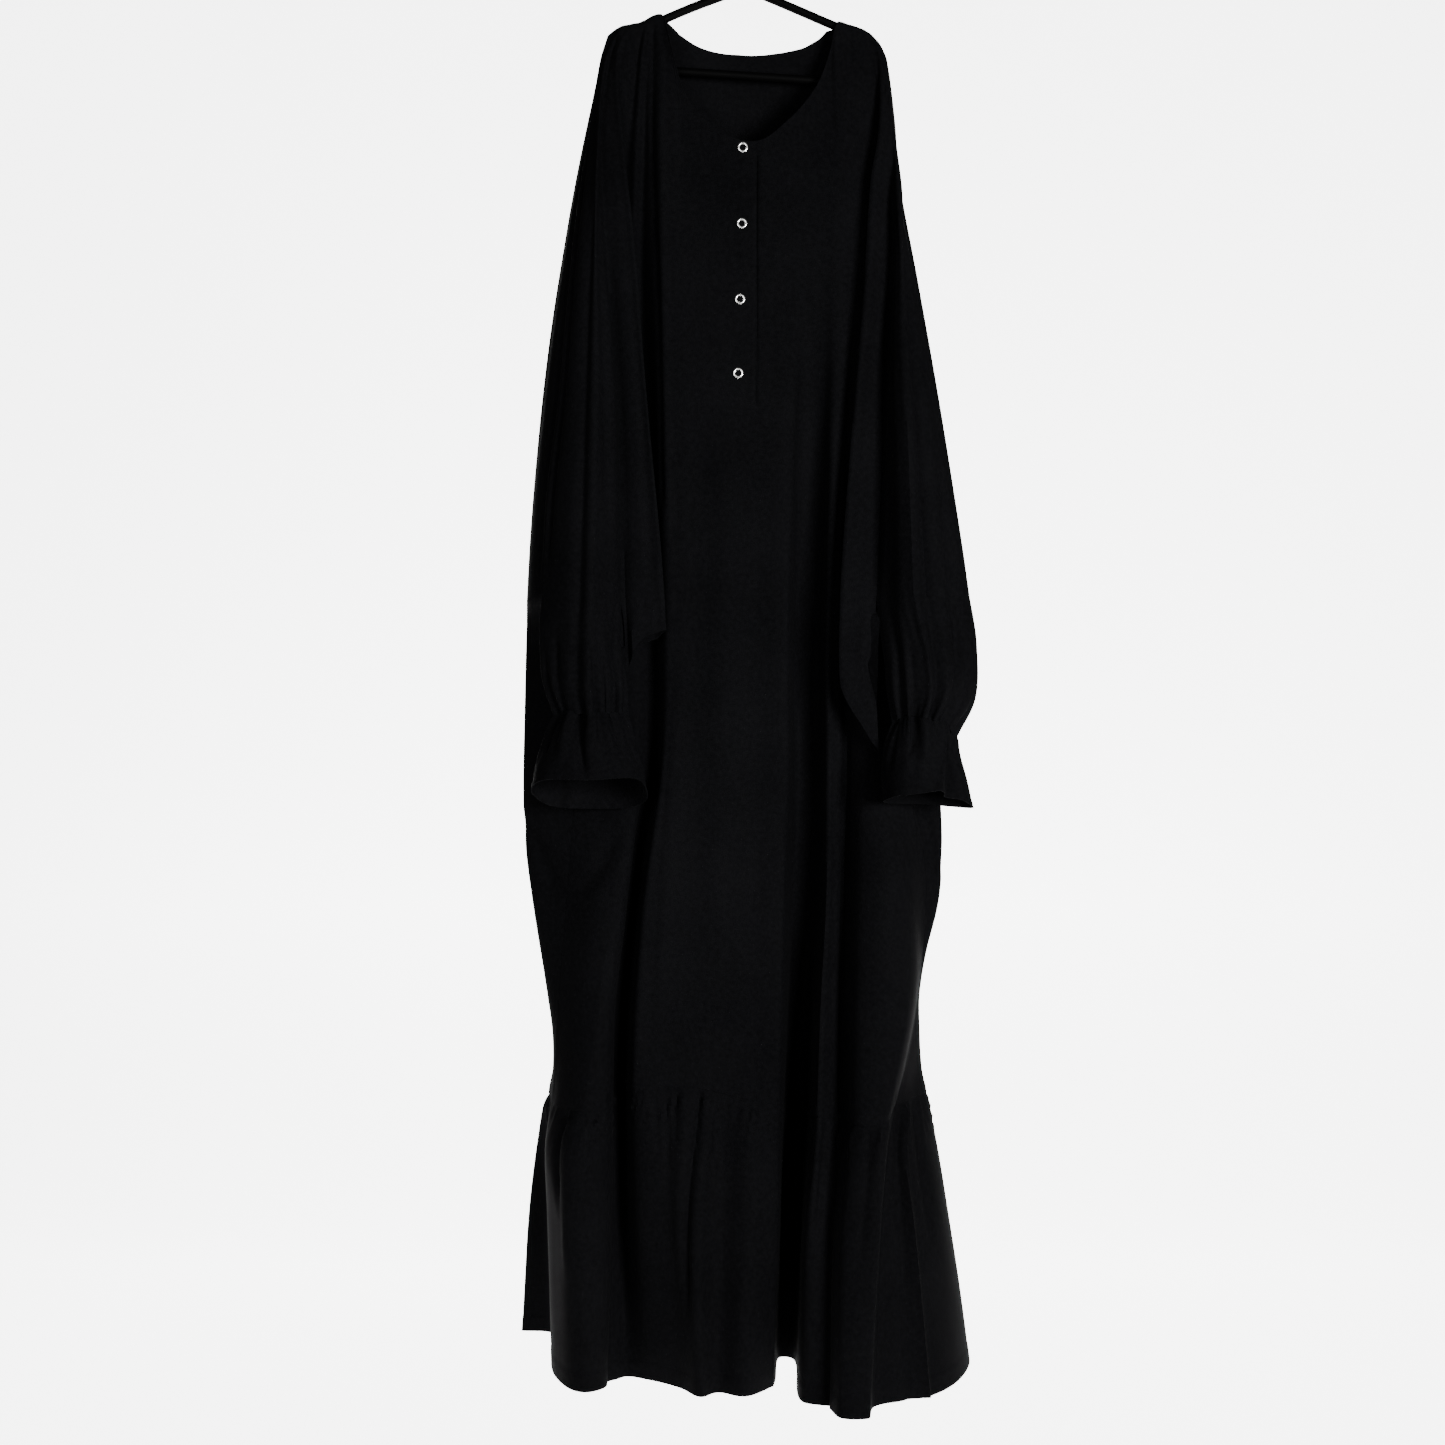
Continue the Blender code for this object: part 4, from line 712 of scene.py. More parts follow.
class SheetMesh:
    """Collects the blocks of one piece of cloth and makes its object."""

    def __init__(self, name: str) -> None:
        """Start an empty piece."""
        self.name = name
        self.points: list[np.ndarray] = []
        self.flat: list[np.ndarray] = []
        self.faces: list[tuple[int, ...]] = []
        self.count = 0

    def add(self, grid: np.ndarray, top: np.ndarray | None = None,
            closed: bool = False) -> np.ndarray:
        """Add a block of rows.

        Args:
            grid: Rows of points in millimetres, from the top down.
            top: The numbers of points that already stand where the block's first row is.
            closed: Whether each row is a ring.

        Returns:
            The number of each point of the block.
        """
        arcs = arc_lengths(grid)
        flat = np.stack([arcs - arcs.mean(axis=1, keepdims=True), grid[:, :, 2]], axis=2)
        rows = grid if top is None else grid[1:]
        flats = flat if top is None else flat[1:]
        numbers = self.count + np.arange(rows.shape[0] * rows.shape[1]).reshape(rows.shape[:2])
        self.points.append(rows.reshape(-1, 3))
        self.flat.append(flats.reshape(-1, 2))
        self.count += numbers.size
        if top is not None:
            numbers = np.vstack([top, numbers])
        ring = np.column_stack([numbers, numbers[:, :1]]) if closed else numbers
        quads = np.stack([ring[:-1, :-1], ring[1:, :-1], ring[1:, 1:], ring[:-1, 1:]], axis=2)
        self.faces.extend(tuple(quad) for quad in quads.reshape(-1, 4).tolist())
        return numbers

    def make(self, thickness: float) -> bpy.types.Object:
        """Make the object, give the sheet its thickness and shade it smooth.

        Args:
            thickness: The cloth's thickness in millimetres, or 0 where the mesh is closed.

        Returns:
            The finished object, at the origin.
        """
        mesh = bpy.data.meshes.new(self.name)
        mesh.from_pydata((np.concatenate(self.points) * MM).tolist(), [], self.faces)
        layer = mesh.uv_layers.new(name="cloth")
        flat = np.concatenate(self.flat) * MM
        loops = np.empty(len(mesh.loops), np.int64)
        mesh.loops.foreach_get("vertex_index", loops)
        layer.data.foreach_set("uv", flat[loops].astype(np.float32).ravel())
        made = bpy.data.objects.new(self.name, mesh)
        bpy.context.scene.collection.objects.link(made)
        if thickness:
            wall = made.modifiers.new("Wall", "SOLIDIFY")
            wall.thickness = thickness * MM
            wall.offset = 0.0
            wall.use_even_offset = False
            apply_modifiers(made)
        select_only(made)
        bpy.ops.object.shade_smooth_by_angle(angle=CRISP_TURN)
        return made


def deselect_all() -> None:
    """Leave no object selected."""
    for other in bpy.context.selected_objects:
        other.select_set(False)


def select_only(chosen: bpy.types.Object) -> None:
    """Select this object and nothing else, and make it active."""
    deselect_all()
    chosen.select_set(True)
    bpy.context.view_layer.objects.active = chosen


def apply_modifiers(made: bpy.types.Object) -> None:
    """Apply every modifier of an object."""
    select_only(made)
    for modifier in list(made.modifiers):
        bpy.ops.object.modifier_apply(modifier=modifier.name)


def settle(piece: bpy.types.Object, finish: bpy.types.Material,
           replaced: tuple[str, ...] = ()) -> None:
    """Dress a piece and hand it to the frame.

    Args:
        piece: The finished object.
        finish: Its material.
        replaced: The solids that it stands for.
    """
    piece.data.materials.clear()
    piece.data.materials.append(finish)
    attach(piece, BODY)
    if replaced:
        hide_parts(*replaced)
    LOG.info("%s: %d faces", piece.name, len(piece.data.polygons))


class Recipe:
    """A material with the kinds of nodes that the finishes share, on object coordinates."""

    def __init__(self, name: str) -> None:
        """Start the material."""
        self.material = bpy.data.materials.new(name)
        self.material.use_nodes = True
        self.nodes = self.material.node_tree.nodes
        self.link = self.material.node_tree.links.new
        self.shader = self.nodes["Principled BSDF"]
        self.place = self.nodes.new("ShaderNodeTexCoord").outputs["Object"]

    def noise(self, scale: float, detail: float = 2.0) -> bpy.types.NodeSocket:
        """Add a noise texture and return its pattern.

        Args:
            scale: How many patches lie in one metre, roughly.
            detail: How many finer layers it has.

        Returns:
            The texture's output, from 0 to 1.
        """
        texture = self.nodes.new("ShaderNodeTexNoise")
        texture.inputs["Scale"].default_value = scale
        texture.inputs["Detail"].default_value = detail
        self.link(self.place, texture.inputs["Vector"])
        return texture.outputs["Fac"]

    def roughen(self, pattern: bpy.types.NodeSocket, low: float, high: float) -> None:
        """Let the roughness follow a pattern between two values."""
        rough = self.nodes.new("ShaderNodeMapRange")
        rough.inputs["To Min"].default_value = low
        rough.inputs["To Max"].default_value = high
        self.link(pattern, rough.inputs["Value"])
        self.link(rough.outputs["Result"], self.shader.inputs["Roughness"])

    def bump(self, pattern: bpy.types.NodeSocket, strength: float, distance: float) -> None:
        """Let the surface's small relief follow a pattern."""
        bump = self.nodes.new("ShaderNodeBump")
        bump.inputs["Strength"].default_value = strength
        bump.inputs["Distance"].default_value = distance
        self.link(pattern, bump.inputs["Height"])
        self.link(bump.outputs["Normal"], self.shader.inputs["Normal"])

    def dress(self, **values: float | tuple[float, ...]) -> bpy.types.Material:
        """Set sockets of the shader, named with _ for each space, and return the material."""
        for name, value in values.items():
            self.shader.inputs[name.replace("_", " ")].default_value = value
        return self.material


@dataclass(frozen=True)
class CrepeFinish:
    """Matte black crepe with a fine pebbled grain, a faint soft sheen and cloudy wear."""

    name: str = "black crepe"
    dark: tuple[float, float, float] = (0.00095, 0.00095, 0.0011)
    light: tuple[float, float, float] = (0.0022, 0.0022, 0.0025)
    roughness: float = 0.82
    specular: float = 0.008
    sheen: float = 0.0026
    sheen_roughness: float = 0.4
    cloud: float = 8.0
    mottle: float = 230.0
    grain: float = 1500.0
    crinkle: float = 675.0
    shares: tuple[float, float, float] = (0.3, 0.4, 0.3)
    bump: float = 0.3

    def build(self) -> bpy.types.Material:
        """Return the material."""
        recipe = Recipe(self.name)
        nodes = recipe.nodes
        cloud, mottle = recipe.noise(self.cloud, 3.0), recipe.noise(self.mottle, 3.0)
        pebbles = recipe.noise(self.grain)
        total = None
        for pattern, share in zip((cloud, mottle, pebbles), self.shares):
            weigh = nodes.new("ShaderNodeMath")
            weigh.operation = "MULTIPLY_ADD"
            weigh.inputs[1].default_value = share
            weigh.inputs[2].default_value = 0.0
            recipe.link(pattern, weigh.inputs[0])
            if total:
                recipe.link(total, weigh.inputs[2])
            total = weigh.outputs[0]
        ramp = nodes.new("ShaderNodeValToRGB")
        for stop, colour, position in zip(ramp.color_ramp.elements, (self.dark, self.light),
                                          (0.36, 0.64)):
            stop.color = (*colour, 1.0)
            stop.position = position
        recipe.link(total, ramp.inputs["Fac"])
        recipe.link(ramp.outputs["Color"], recipe.shader.inputs["Base Color"])
        crinkle = nodes.new("ShaderNodeTexVoronoi")
        crinkle.inputs["Scale"].default_value = self.crinkle
        recipe.link(recipe.place, crinkle.inputs["Vector"])
        height = nodes.new("ShaderNodeMath")
        height.operation = "ADD"
        recipe.link(pebbles, height.inputs[0])
        recipe.link(crinkle.outputs["Distance"], height.inputs[1])
        recipe.roughen(mottle, self.roughness - 0.08, self.roughness + 0.08)
        recipe.bump(height.outputs[0], self.bump, 0.0003)
        return recipe.dress(Specular_IOR_Level=self.specular, Sheen_Weight=self.sheen,
                            Sheen_Roughness=self.sheen_roughness)


@dataclass(frozen=True)
class MetalFinish:
    """Polished silver metal with faint wear."""

    name: str = "silver snap"
    colour: tuple[float, float, float] = (0.72, 0.72, 0.70)
    wear: float = 900.0

    def build(self) -> bpy.types.Material:
        """Return the material."""
        recipe = Recipe(self.name)
        recipe.roughen(recipe.noise(self.wear), 0.16, 0.36)
        return recipe.dress(Base_Color=(*self.colour, 1.0), Metallic=1.0)


@dataclass(frozen=True)
class SatinFinish:
    """A satin black surface with a fine skin, for moulded plastic and for twisted thread."""

    name: str
    colour: tuple[float, float, float]
    roughness: float
    skin: float
    specular: float

    def build(self) -> bpy.types.Material:
        """Return the material."""
        recipe = Recipe(self.name)
        skin = recipe.noise(self.skin)
        recipe.roughen(skin, self.roughness - 0.07, self.roughness + 0.07)
        recipe.bump(skin, 0.12, 0.0002)
        return recipe.dress(Base_Color=(*self.colour, 1.0), Specular_IOR_Level=self.specular)


@dataclass
class Stitches:
    """A row of small stitches laid along a sheet, every one a low ridge that dips into the cloth."""

    finish: bpy.types.Material
    name: str
    pitch: float = 3.0
    length: float = 2.2
    half_width: float = 0.22
    rise: float = 0.16
    # Along a stitch: the share of its length, of its width and of its rise
    sections: tuple[tuple[float, float, float], ...] = (
        (0.0, 0.35, 0.02), (0.25, 1.0, 0.85), (0.75, 1.0, 0.85), (1.0, 0.35, 0.02))
    foot: float = 0.05

    def __post_init__(self) -> None:
        """Start with no stitch."""
        self.points: list[Vector] = []
        self.faces: list[tuple[int, ...]] = []

    def sew(self, path: np.ndarray, facing: np.ndarray, lift: float) -> None:
        """Add stitches along a line on the cloth.

        Args:
            path: The line's points in millimetres.
            facing: The unit vector out of the cloth at each point.
            lift: How far the cloth's outer face is from the line, in millimetres.
        """
        hops = np.linalg.norm(np.diff(path, axis=0), axis=1)
        reach = np.concatenate([[0.0], np.cumsum(hops)])
        for centre in np.arange(self.pitch / 2, reach[-1] - self.pitch / 2, self.pitch):
            start, end = (np.array([np.interp(spot, reach, path[:, axis]) for axis in range(3)])
                          for spot in (centre - self.length / 2, centre + self.length / 2))
            out = np.array([np.interp(centre, reach, facing[:, axis]) for axis in range(3)])
            out /= max(np.linalg.norm(out), 1e-9)
            along = end - start
            across = np.cross(along / max(np.linalg.norm(along), 1e-9), out)
            first = len(self.points)
            for part, wide, high in self.sections:
                base = start * (1 - part) + end * part + out * lift
                width = across * self.half_width * wide
                crown, sunk = out * self.rise * high, out * self.foot
                self.points += [base - width - sunk, base - width * 0.6 + crown,
                                base + width * 0.6 + crown, base + width - sunk]
            for ring in range(len(self.sections) - 1):
                low, high = first + ring * 4, first + ring * 4 + 4
                self.faces += [(low + k, high + k, high + (k + 1) % 4, low + (k + 1) % 4)
                               for k in range(4)]
            last = first + (len(self.sections) - 1) * 4
            self.faces += [(first, first + 1, first + 2, first + 3),
                           (last + 3, last + 2, last + 1, last)]

    def make(self) -> bpy.types.Object:
        """Make one piece of all the stitches and return it."""
        mesh = bpy.data.meshes.new(self.name)
        mesh.from_pydata([tuple(point * MM) for point in self.points], [], self.faces)
        piece = bpy.data.objects.new(self.name, mesh)
        bpy.context.scene.collection.objects.link(piece)
        select_only(piece)
        bpy.ops.object.mode_set(mode="EDIT")
        bpy.ops.mesh.select_all(action="SELECT")
        bpy.ops.mesh.normals_make_consistent(inside=False)
        bpy.ops.object.mode_set(mode="OBJECT")
        piece.data.shade_smooth()
        settle(piece, self.finish)
        return piece


@dataclass
class Cloth:
    """What every cut piece shares: its thickness, seam gap, finish and thread."""

    finish: bpy.types.Material
    thread: bpy.types.Material
    thickness: float = 0.9
    seam: float = 0.3
    shoulder_half: float = 0.25
    arm_round: float = 7.2
    arm_drop: float = 9.0
    bare_round: float = 1.6
    arm_margin: float = 6.0
    arm_fade: float = 8.0
    round_fade: float = 60.0
    row_pitch: float = 6.0
    tuck: float = 1.0

    def shoulder_floor(self, fold: Fold, heights: np.ndarray) -> np.ndarray:
        """Return how deep a fold stays at least, where it is rounded over the hanger's arm."""
        drop = fold.top - heights
        reach = smooth_step((ARM_REACH + self.arm_margin - abs(fold.rows[0][1])) / self.arm_fade)
        rise = 1.0 - np.minimum(drop / self.arm_drop, 1.0)
        rounding = ((self.bare_round + (self.arm_round - self.bare_round) * reach)
                    * np.sqrt(1.0 - rise * rise))
        fade = 1.0 - smooth_step((drop - NECK_DROP) / self.round_fade)
        return self.shoulder_half + (self.thickness / 2 * (1 - reach) + rounding) * fade

    def fold_grid(self, folds: tuple[Fold, ...], heights: np.ndarray, side: float) -> np.ndarray:
        """Follow every fold of a sheet.

        Args:
            folds: The folds, from the left to the right.
            heights: The height of each row at each fold, in millimetres.
            side: -1 for the front, 1 for the back, 0 below the shoulders.

        Returns:
            Points in millimetres, rows by folds by 3.
        """
        columns = []
        for index, fold in enumerate(folds):
            points = fold.at(heights[:, index])
            if side and abs(fold.rows[0][2]) <= 2:
                floor = self.shoulder_floor(fold, heights[:, index])
                points[:, 1] = side * np.maximum(side * points[:, 1], floor)
            columns.append(points)
        return np.stack(columns, axis=1)

    def closed_section(self, front: np.ndarray, back: np.ndarray, steps: list[int],
                       back_steps: list[int]) -> tuple[np.ndarray, np.ndarray]:
        """Draw rows right round the garment and part them at their two side seams.

        Args:
            front: The front folds' points, with the seams' own points at both ends.
            back: The back folds' points, from the left to the right, without the seams' points.
            steps: The points of each front span.
            back_steps: The points of each back span, from the left to the right.

        Returns:
            The front's rows and the back's rows, both from the left to the right.
        """
        loop = spline(np.concatenate([front, back[:, ::-1]], axis=1), steps + back_steps[::-1],
                      closed=True)
        parting = sum(steps)
        front_run = loop[:, :parting + 1].copy()
        back_run = np.concatenate([loop[:, parting:], loop[:, :1]], axis=1)[:, ::-1].copy()
        ends = back_run[:, 1].copy(), back_run[:, -2].copy()
        others = front_run[:, 1].copy(), front_run[:, -2].copy()
        seam_trim(front_run, *ends, self.seam, self.thickness)
        seam_trim(back_run, *others, self.seam, self.thickness)
        return front_run, back_run


@dataclass
class Flounce:
    """The gathered hem flounce, a front and a back piece."""

    cloth: Cloth
    front_steps: int = 12
    back_steps: int = 12
    row_pitch: float = 3.4
    flat: tuple[float, float] = (0.8, 0.31)
    hem_width: float = 20.0
    hem_proud: float = 0.35
    lift_reach: float = 190.0
    top_ease: float = 12.0
    side_ease: float = 14.0
    gather_reach: float = 46.0
    gather_depth: float = 1.5
    gather_pitch: float = 11.0
    ripple_height: float = 1.0
    ripple_size: float = 46.0
    overlap: float = 3.6

    def __post_init__(self) -> None:
        """Draw the sections of both pieces from the seam down to the hem."""
        cloth = self.cloth
        self.rows = np.append(np.arange(FLOUNCE_SEAM, HEM, -self.row_pitch), HEM)
        front, back = (cloth.fold_grid(folds, np.repeat(self.rows[:, None], len(folds), 1), 0)
                       for folds in (FLOUNCE_FRONT, FLOUNCE_BACK))
        steps = [self.front_steps] * (len(FLOUNCE_FRONT) - 1)
        back_steps = [self.back_steps] * (len(FLOUNCE_BACK) + 1)
        front_run, back_run = cloth.closed_section(front, back, steps, back_steps)
        self.front = Sheet(front_run, fold_places(steps))
        self.back = Sheet(back_run, fold_places(back_steps), side=-1.0)

    def seam_lift(self, places: np.ndarray) -> np.ndarray:
        """Return how far the front's gathered seam runs above its general height."""
        table = np.array(SEAM_LIFT, float)
        return np.interp(places, table[:, 0], table[:, 1])

    def seam_line(self, back: bool, places: np.ndarray) -> np.ndarray:
        """Return points of the seam to the body at given places, counted in folds."""
        sheet = self.back if back else self.front
        return np.column_stack([np.interp(places, sheet.places, sheet.points[0, :, axis])
                                for axis in range(3)])

    def build(self) -> None:
        """Build both pieces and the stitches of their hem."""
        cloth = self.cloth
        stitches = Stitches(cloth.thread, "hem_stitches", pitch=3.4)
        for name, sheet, node, creases, phase in (
                ("flounce_front_cloth", self.front, "flounce_front", FLOUNCE_FRONT_CREASES, 0.4),
                ("flounce_back_cloth", self.back, "flounce_back", FLOUNCE_BACK_CREASES, 2.1)):
            drop = FLOUNCE_SEAM - sheet.points[:, :, 2]
            plain = sheet.points.copy()
            sheet.press(creases)
            sheet.gather(drop, self.gather_reach, self.gather_depth, self.gather_pitch, phase)
            sheet.ripple(self.ripple_height, self.ripple_size, phase * 5)
            sheet.ease_back(plain, smooth_step(drop / self.top_ease), self.side_ease)
            if sheet is self.front:
                near = 1.0 - smooth_step(drop / self.lift_reach)
                sheet.points[:, :, 2] += self.seam_lift(sheet.places)[None] * near
            rise = sheet.points[:, :, 2] - HEM
            sheet.hem(rise, self.hem_width, self.hem_proud)
            facing = grid_normals(sheet.points) * sheet.side
            line = int(np.argmin(np.abs(self.rows - (HEM + self.hem_width))))
            stitches.sew(sheet.points[line, 2:-2], facing[line, 2:-2], cloth.thickness / 2)
            tucked = sheet.points[:1] - facing[:1] * cloth.tuck
            upper = tucked + np.array([0.0, 0.0, self.overlap])
            run = np.concatenate([upper, tucked + np.array([0.0, 0.0, -0.4]), sheet.points[2:]])
            mesh = SheetMesh(name)
            mesh.add(run if sheet.side > 0 else run[:, ::-1])
            piece = mesh.make(cloth.thickness)
            settle(piece, cloth.finish, (node,))
        stitches.make()


@dataclass
class Bodice:
    """The front and the back of the garment, each cut in one with its half of the wide sleeves."""

    cloth: Cloth
    flounce: Flounce
    steps: int = 8
    front_steps: dict[str, int] = field(default_factory=lambda: {
        "overarm": 16, "sleeve crest": 16, "groove": 12, "nose": 5, "under nose": 9, "panel 3": 16})
    right_steps: tuple[int, ...] = (9, 5, 12, 16, 16)
    back_steps: int = 14
    flat: tuple[float, float] = (1.05, 1.21)
    front_area: float = 0.86
    back_area: float = 0.80
    yoke_rows: int = 36
    neck_reach: float = 70.0
    shoulder_reach: float = 30.0
    lobe_rows: int = 22
    lobe_ease: float = 0.5
    lobe_join: float = 26.0
    lower_join: float = 30.0
    notch_fold: float = 28.0
    notch_reach: float = 0.45
    ease: float = 50.0
    seam_ease: float = 70.0
    join_drop: float = 40.0
    ripple_height: float = 1.3
    ripple_size: float = 52.0
    side_ease: float = 7.0
    gather_reach: float = 22.0
    gather_depth: float = 0.7
    gather_pitch: float = 11.0
    neck_row: int = 6
    neck_folds: tuple[int, int] = (11, 20)
    back_neck_folds: tuple[int, int] = (5, 9)

    def upper_heights(self, folds: tuple[Fold, ...]) -> np.ndarray:
        """Return each row's height at each fold, from the shoulders to the sleeve seam."""
        drops = np.array([0, 0.5, 1.2, 2.2, 3.5, 5, 7, 9.5, 13, 17, NECK_DROP])
        parts = np.linspace(0, 1, self.yoke_rows)[1:]
        straight = np.arange(YOKE - self.cloth.row_pitch, SLEEVE_SEAM, -self.cloth.row_pitch)
        straight = np.append(straight, SLEEVE_SEAM)
        columns = []
        for fold in folds:
            low = fold.top - NECK_DROP
            columns.append(np.concatenate([fold.top - drops, low + (YOKE - low) * parts, straight]))
        return np.stack(columns, axis=1)

    def build(self) -> None:
        """Build the front and the back."""
        self.draw()
        self.shape()
        self.make_front()
        self.make_back()
        self.sew()

    def draw(self) -> None:
        """Draw the sections of both sheets."""
        cloth = self.cloth
        above = (*BATWING_LEFT, SIDE_LEFT, *BODY_FRONT, SIDE_RIGHT, *BATWING_RIGHT)
        below = (SIDE_LEFT, *BODY_FRONT, SIDE_RIGHT)
        back_edges = (above[0], *BODY_BACK, above[-1])
        wing, plain = len(BATWING_LEFT), len(above) - 1 - len(self.right_steps)
        left_half = len(above) // 2
        steps = [self.front_steps.get(fold.name, self.steps) for fold in above[:left_half]]
        steps += [self.steps] * (plain - left_half) + list(self.right_steps)
        back_steps = [self.back_steps] * (len(back_edges) - 1)
        self.column_steps = steps
        self.left, self.right = sum(steps[:wing]), sum(steps) - sum(steps[-wing:])
        heights = self.upper_heights(above)
        front_points = cloth.fold_grid(above, heights, -1)
        back_points = cloth.fold_grid(back_edges, self.upper_heights(back_edges), 1)
        front_open, back_open = spline(front_points, steps), spline(back_points, back_steps)
        front_loop, back_loop = cloth.closed_section(front_points, back_points[:, 1:-1], steps,
                                                     back_steps)
        drop = above[0].top - heights[:, 0]
        weight = smooth_step((drop - NECK_DROP) / self.join_drop)[:, None, None]
        front_upper = front_open * (1 - weight) + front_loop * weight
        back_upper = back_open * (1 - weight) + back_loop * weight
        rows = np.append(np.arange(SLEEVE_SEAM, FLOUNCE_SEAM, -cloth.row_pitch), FLOUNCE_SEAM)
        low_steps = steps[wing:-wing]
        front_low, back_low = (cloth.fold_grid(folds, np.repeat(rows[:, None], len(folds), 1), 0)
                               for folds in (below, BODY_BACK))
        front_lower, back_lower = cloth.closed_section(front_low, back_low, low_steps, back_steps)
        fade = 1.0 - np.clip((SLEEVE_SEAM - rows) / self.ease, 0, 1)
        first = front_upper[-1, self.left:self.right + 1].copy()
        first[0], first[-1] = first[1], first[-2]
        front_lower += (first - front_lower[0])[None] * fade[:, None, None]
        back_lower += (back_upper[-1] - back_lower[0])[None] * fade[:, None, None]
        places = fold_places(steps)
        self.front_upper = Sheet(front_upper, places)
        self.front_lower = Sheet(front_lower, places[self.left:self.right + 1])
        self.back_upper = Sheet(back_upper, fold_places(back_steps), side=-1.0)
        self.back_lower = Sheet(back_lower, fold_places(back_steps), side=-1.0)
        last = len(above) - wing
        self.lobes = [self.draw_lobe(BATWING_LEFT[2:], steps[2:wing - 1], sum(steps[:2]), 2,
                                     LOBE_EDGE_LEFT),
                      self.draw_lobe(BATWING_RIGHT[:4], steps[last:last + 3],
                                     self.right + steps[-wing], last, LOBE_EDGE_RIGHT)]
        self.trim_top(self.back_upper, BACK_NECK_TRIM, self.neck_reach)
        for sheet in (self.front_upper, self.back_upper):
            self.trim_top(sheet, SHOULDER_TRIM, self.shoulder_reach)
        self.meet_flounce(rows)

    def trim_top(self, sheet: Sheet, table: tuple, reach: float) -> None:
        """Cut a sheet's top edge a little lower.

        Args:
            sheet: The sheet.
            table: How far the edge moves, at places across.
            reach: How far down its rows follow.
        """
        cut = np.array(table, float)
        top = sheet.points[:1].copy()
        shift = np.interp(top[0, :, 0], cut[:, 0], cut[:, 1], left=0, right=0)
        near = 1.0 - smooth_step((top[:, :, 2] - sheet.points[:, :, 2]) / reach)
        sheet.points[:, :, 2] += shift[None] * near

    def meet_flounce(self, rows: np.ndarray) -> None:
        """Ease the lowest rows onto the line of the flounce's gathered seam."""
        near = smooth_step(1.0 - (rows - FLOUNCE_SEAM) / self.seam_ease)[:, None, None]
        for sheet, back, marks in ((self.front_lower, False, FRONT_MAP),
                                   (self.back_lower, True, BACK_MAP)):
            own = sheet.places - sheet.places[0]
            goal = self.flounce.seam_line(back, np.interp(own, np.arange(len(marks)), marks))
            sheet.points += (goal - sheet.points[-1])[None] * near

    def draw_lobe(self, folds: tuple[Fold, ...], steps: list[int], start: int, first: int,
                  edge: tuple[tuple[float, float], ...]) -> tuple[Sheet, int]:
        """Draw the part of a wide sleeve that hangs below the sleeve seam.

        Args:
            folds: The folds that run on below the seam.
            steps: The points of each span between them.
            start: The column of the front where the lobe starts.
            first: The number of its first fold.
            edge: Its lower edge, as places counted in folds and heights.

        Returns:
            The lobe and the column where it starts.
        """
        upper = self.front_upper.points
        places = fold_places(steps, first)
        parts = np.linspace(0, 1, self.lobe_rows)
        columns = []
        for fold in folds:
            end = SLEEVE_SEAM if fold.name == "return" else fold.rows[-1][0]
            columns.append(SLEEVE_SEAM + (end - SLEEVE_SEAM) * parts)
        lobe = spline(self.cloth.fold_grid(folds, np.stack(columns, axis=1), 0), steps)
        span = slice(start, start + sum(steps) + 1)
        table = np.array(edge, float)
        wanted = np.interp(places, table[:, 0], table[:, 1])
        for column in range(lobe.shape[1]):
            own = lobe[:, column].copy()
            heights = SLEEVE_SEAM + (wanted[column] - SLEEVE_SEAM) * parts
            for axis in (0, 1):
                lobe[:, column, axis] = np.interp(-heights, -own[:, 2], own[:, axis])
            lobe[:, column, 2] = heights
            beside = smooth_step(1.0 - (self.notch_fold - places[column]) / self.notch_reach)
            lobe[:, column, 0] += beside * np.interp(-heights, *LOBE_NOTCH)
        fade = 1.0 - smooth_step(parts / self.lobe_ease)
        lobe += (upper[-1, span] - lobe[0])[None] * fade[:, None, None]
        return Sheet(lobe, places), start

    def shape(self) -> None:
        """Lay the creases, drag lines and small unevenness into both sheets."""
        upper, lower = self.front_upper, self.front_lower
        for sheet, creases, seed in (
                (upper, FRONT_CREASES, 0.0), (lower, FRONT_CREASES, 0.0),
                (self.back_upper, BACK_CREASES, 7.0), (self.back_lower, BACK_CREASES, 7.0)):
            plain = sheet.points.copy()
            sheet.press(creases)
            sheet.ripple(self.ripple_height, self.ripple_size, seed)
            low = sheet.points[:, :, 2]
            if sheet in (upper, self.back_upper):
                keep = smooth_step((sheet.points[:1, :, 2] - low - 3.0) / 22.0)
            else:
                sheet.gather(low - FLOUNCE_SEAM, self.gather_reach, self.gather_depth,
                             self.gather_pitch, 0.4 if sheet is lower else 2.1)
                keep = smooth_step((low - FLOUNCE_SEAM) / 10.0)
            sheet.ease_back(plain, keep, self.side_ease)
        marks = np.interp(lower.places - lower.places[0], np.arange(len(FRONT_MAP)), FRONT_MAP)
        near = smooth_step(1.0 - (lower.points[:, :, 2] - FLOUNCE_SEAM) / self.flounce.lift_reach)
        lower.points[:, :, 2] += self.flounce.seam_lift(marks)[None] * near
        inner = slice(self.left, self.right + 1)
        for high, below, columns in ((upper, lower, inner), (self.back_upper, self.back_lower,
                                                             slice(None))):
            step = high.points[-1, columns] - below.points[0]
            if high is upper:
                step[0], step[-1] = step[1], step[-2]
            near = 1.0 - smooth_step((SLEEVE_SEAM - below.points[:, :, 2]) / self.lower_join)
            below.points += step[None] * near[:, :, None]
        for lobe, start in self.lobes:
            lobe.press(FRONT_CREASES)
            span = slice(start, start + lobe.points.shape[1])
            near = 1.0 - smooth_step((SLEEVE_SEAM - lobe.points[:, :, 2]) / self.lobe_join)
            lobe.points += (upper.points[-1, span] - lobe.points[0])[None] * near[:, :, None]

